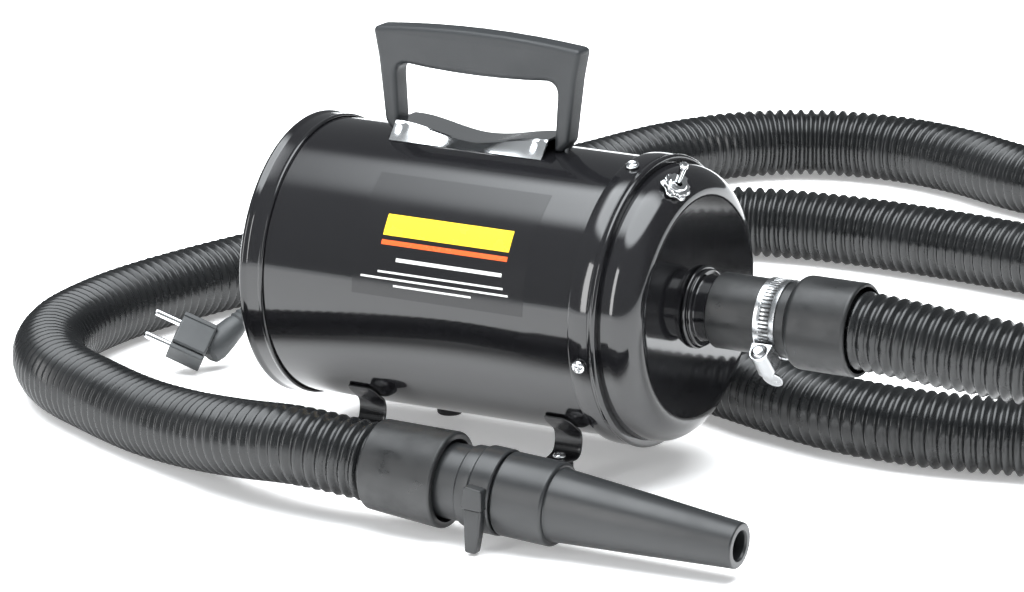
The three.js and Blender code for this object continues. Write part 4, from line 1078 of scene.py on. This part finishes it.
hand_turn = Vector((1, 0, 0)).rotation_difference(hand_axis)
hand_place = Matrix.Translation(hand_start) @ hand_turn.to_matrix().to_4x4()
moulding = finish("nozzle_moulding", (0.013, 0.014, 0.015), 0.28, 0.44, patch=24, grain=1000, bump=0.12,
                  depth=0.0003, specks=0.6, worn=(0.12, 0.12, 0.12))
hand_cuff = turned([
    (0.0, 0.0252), (0.0, 0.0264), *arc((0.0020, 0.0264), 0.0020, 180, 100, 4), (0.0500, 0.0303),
    *arc((0.0500, 0.0283), 0.0020, 90, 0, 4), (0.0520, 0.0261), (0.0440, 0.0245), (0.0420, 0.0238),
    (0.0420, 0.0200), (0.0022, 0.0200),
], bevel=0.0002)
settle(put(hand_cuff, hand_place), "hand_sleeve", "dryer", "rubber", rubber_black, "hand_cuff")

adapter = turned([
    (0.0423, 0.0205), (0.0423, 0.0235), (0.0655, 0.0235), (0.0663, 0.0250), (0.0672, 0.0254),
    (0.0740, 0.0254),
    (0.0752, 0.0248), (0.0752, 0.0235), (0.1115, 0.0235), (0.1115, 0.0205),
])
settle(put(adapter, hand_place), "hose_adapter", "dryer", "nozzle_moulding", moulding, "nozzle_adapter")

collar_start, collar_end = 0.0755, 0.0905
collar_middle = (collar_start + collar_end) / 2
collar_ring = turned([
    (collar_start, 0.0239), (collar_start, 0.0262), (collar_start + 0.0010, 0.0270),
    (collar_end - 0.0010, 0.0270), (collar_end, 0.0262), (collar_end, 0.0239),
])
lug_outline = rounded([(-0.0070, -0.0060, 0.0012), (0.0070, -0.0060, 0.0012), (0.0060, 0.0075, 0.0020),
                       (-0.0062, 0.0085, 0.0020)])
lug = plate([lug_outline], 0.0075, 0.0010)
put(lug, Matrix.Translation((collar_middle, -0.0293, 0.0020)) @ Matrix.Rotation(math.pi / 2, 4, "X"))
tab_outline = rounded([(-0.0060, -0.0040, 0.0010), (0.0062, -0.0040, 0.0010), (0.0058, -0.0190, 0.0080),
                       (0.0042, -0.0318, 0.0020), (-0.0034, -0.0318, 0.0020), (-0.0052, -0.0150, 0.0080)])
tab = plate([tab_outline], 0.0070, 0.0013)
put(tab, Matrix.Translation((collar_middle, -0.0282, 0)) @ Matrix.Rotation(math.pi / 2, 4, "X"))
collar = joined([collar_ring, lug, tab])
settle(put(collar, hand_place), "locking_collar", "collar", "nozzle_moulding", moulding, "lock_collar")

nozzle_base, cone_start, nozzle_end = 0.0915, 0.1265, 0.2484
nozzle = turned([
    (nozzle_base, 0.0239), (nozzle_base, 0.0252), (nozzle_base + 0.0010, 0.0262),
    (cone_start - 0.0022, 0.0262), *arc((cone_start - 0.0022, 0.0240), 0.0022, 90, 0, 4),
    (cone_start, 0.0232), (cone_start + 0.0010, 0.0228), (cone_start + 0.060, 0.0188),
    (nozzle_end - 0.0012, 0.0144), *arc((nozzle_end - 0.0012, 0.0132), 0.0012, 80, 0, 3),
    (nozzle_end, 0.0098), (nozzle_end - 0.0015, 0.0090), (cone_start, 0.0196),
    (0.1128, 0.0196), (0.1128, 0.0239),
])
settle(put(nozzle, hand_place), "blower_nozzle", "tip", "nozzle_moulding", moulding, "nozzle")

# ---- Plug ----
# A moulded two-pin plug with a side-entry relief. Its block has a groove along each side, and the
# relief is a tapering sleeve with grooves round it that let it flex.

plug_grey = finish("plug_pvc", (0.036, 0.039, 0.041), 0.42, 0.58, patch=60, grain=1300, bump=0.12,
                   specks=0.4)
plug_origin = Vector((-0.338, 0.051, 0.026))
pin_axis = Vector((-0.837, -0.369, 0.406)).normalized()
pin_row = Vector((0.045, -0.787, -0.615))
pin_row = (pin_row - pin_axis * pin_row.dot(pin_axis)).normalized()
plug_side = pin_axis.cross(pin_row)
plug_place = Matrix((pin_axis, pin_row, plug_side)).transposed().to_4x4()
plug_place.translation = plug_origin


def block(centre, size, edge, taper=1.0):
    """A moulded block with rounded edges, whose far face along X is scaled by a taper."""
    bpy.ops.object.select_all(action="DESELECT")
    bpy.ops.mesh.primitive_cube_add(size=1, location=centre, scale=size)
    piece = bpy.context.object
    bpy.ops.object.transform_apply(location=True, rotation=True, scale=True)
    for vertex in piece.data.vertices:
        if vertex.co.x > centre[0]:
            vertex.co.y = centre[1] + (vertex.co.y - centre[1]) * taper
            vertex.co.z = centre[2] + (vertex.co.z - centre[2]) * taper
    soften(piece, edge, segments=3)
    return piece


plug_parts = [
    block((-0.012, 0, 0), (0.024, 0.0215, 0.0200), 0.0014),
    block((-0.012, -0.0131, 0), (0.024, 0.0038, 0.0165), 0.0009),
    block((-0.012, 0.0131, 0), (0.024, 0.0038, 0.0165), 0.0009),
    block((-0.012, 0, 0), (0.0235, 0.0262, 0.0110), 0.0006),
]
plug_block = joined(plug_parts)
put(plug_block, plug_place)
relief_length = (relief_end - relief_start).length
relief_turn = Vector((1, 0, 0)).rotation_difference(relief_axis)
relief_place = Matrix.Translation(relief_start) @ relief_turn.to_matrix().to_4x4()
relief_profile = [(-0.004, 0.0060), (-0.002, 0.0092), (0.004, 0.0104)]
relief_profile += [(relief_length * share, radius) for share, radius in (
    (0.35, 0.0096), (0.62, 0.0080), (0.70, 0.0070), (0.74, 0.0078), (0.80, 0.0066),
    (0.85, 0.0073), (0.91, 0.0060), (0.96, 0.0066), (1.0, 0.0058),
)]
relief = turned(relief_profile, sides=40, bevel=0.0002, closed=False)
put(relief, relief_place)
plug_body = joined([plug_block, relief])
settle(plug_body, "plug_moulding", "dryer", "cord_pvc", plug_grey, "plug_body")

pins = []
for pin_offset in (-0.0095, 0.0095):
    pin = turned([
        (-0.002, 0.0014), (-0.002, 0.0024), (0.0172, 0.0024), (0.0182, 0.0020), (0.0188, 0.0012),
        (0.0190, 0.0004),
    ], sides=32, bevel=0, closed=False)
    pins.append(put(pin, Matrix.Translation((0, pin_offset, 0))))
plug_pins = joined(pins)
settle(put(plug_pins, plug_place), "plug_contacts", "dryer", "chrome", chrome, "plug_pins")
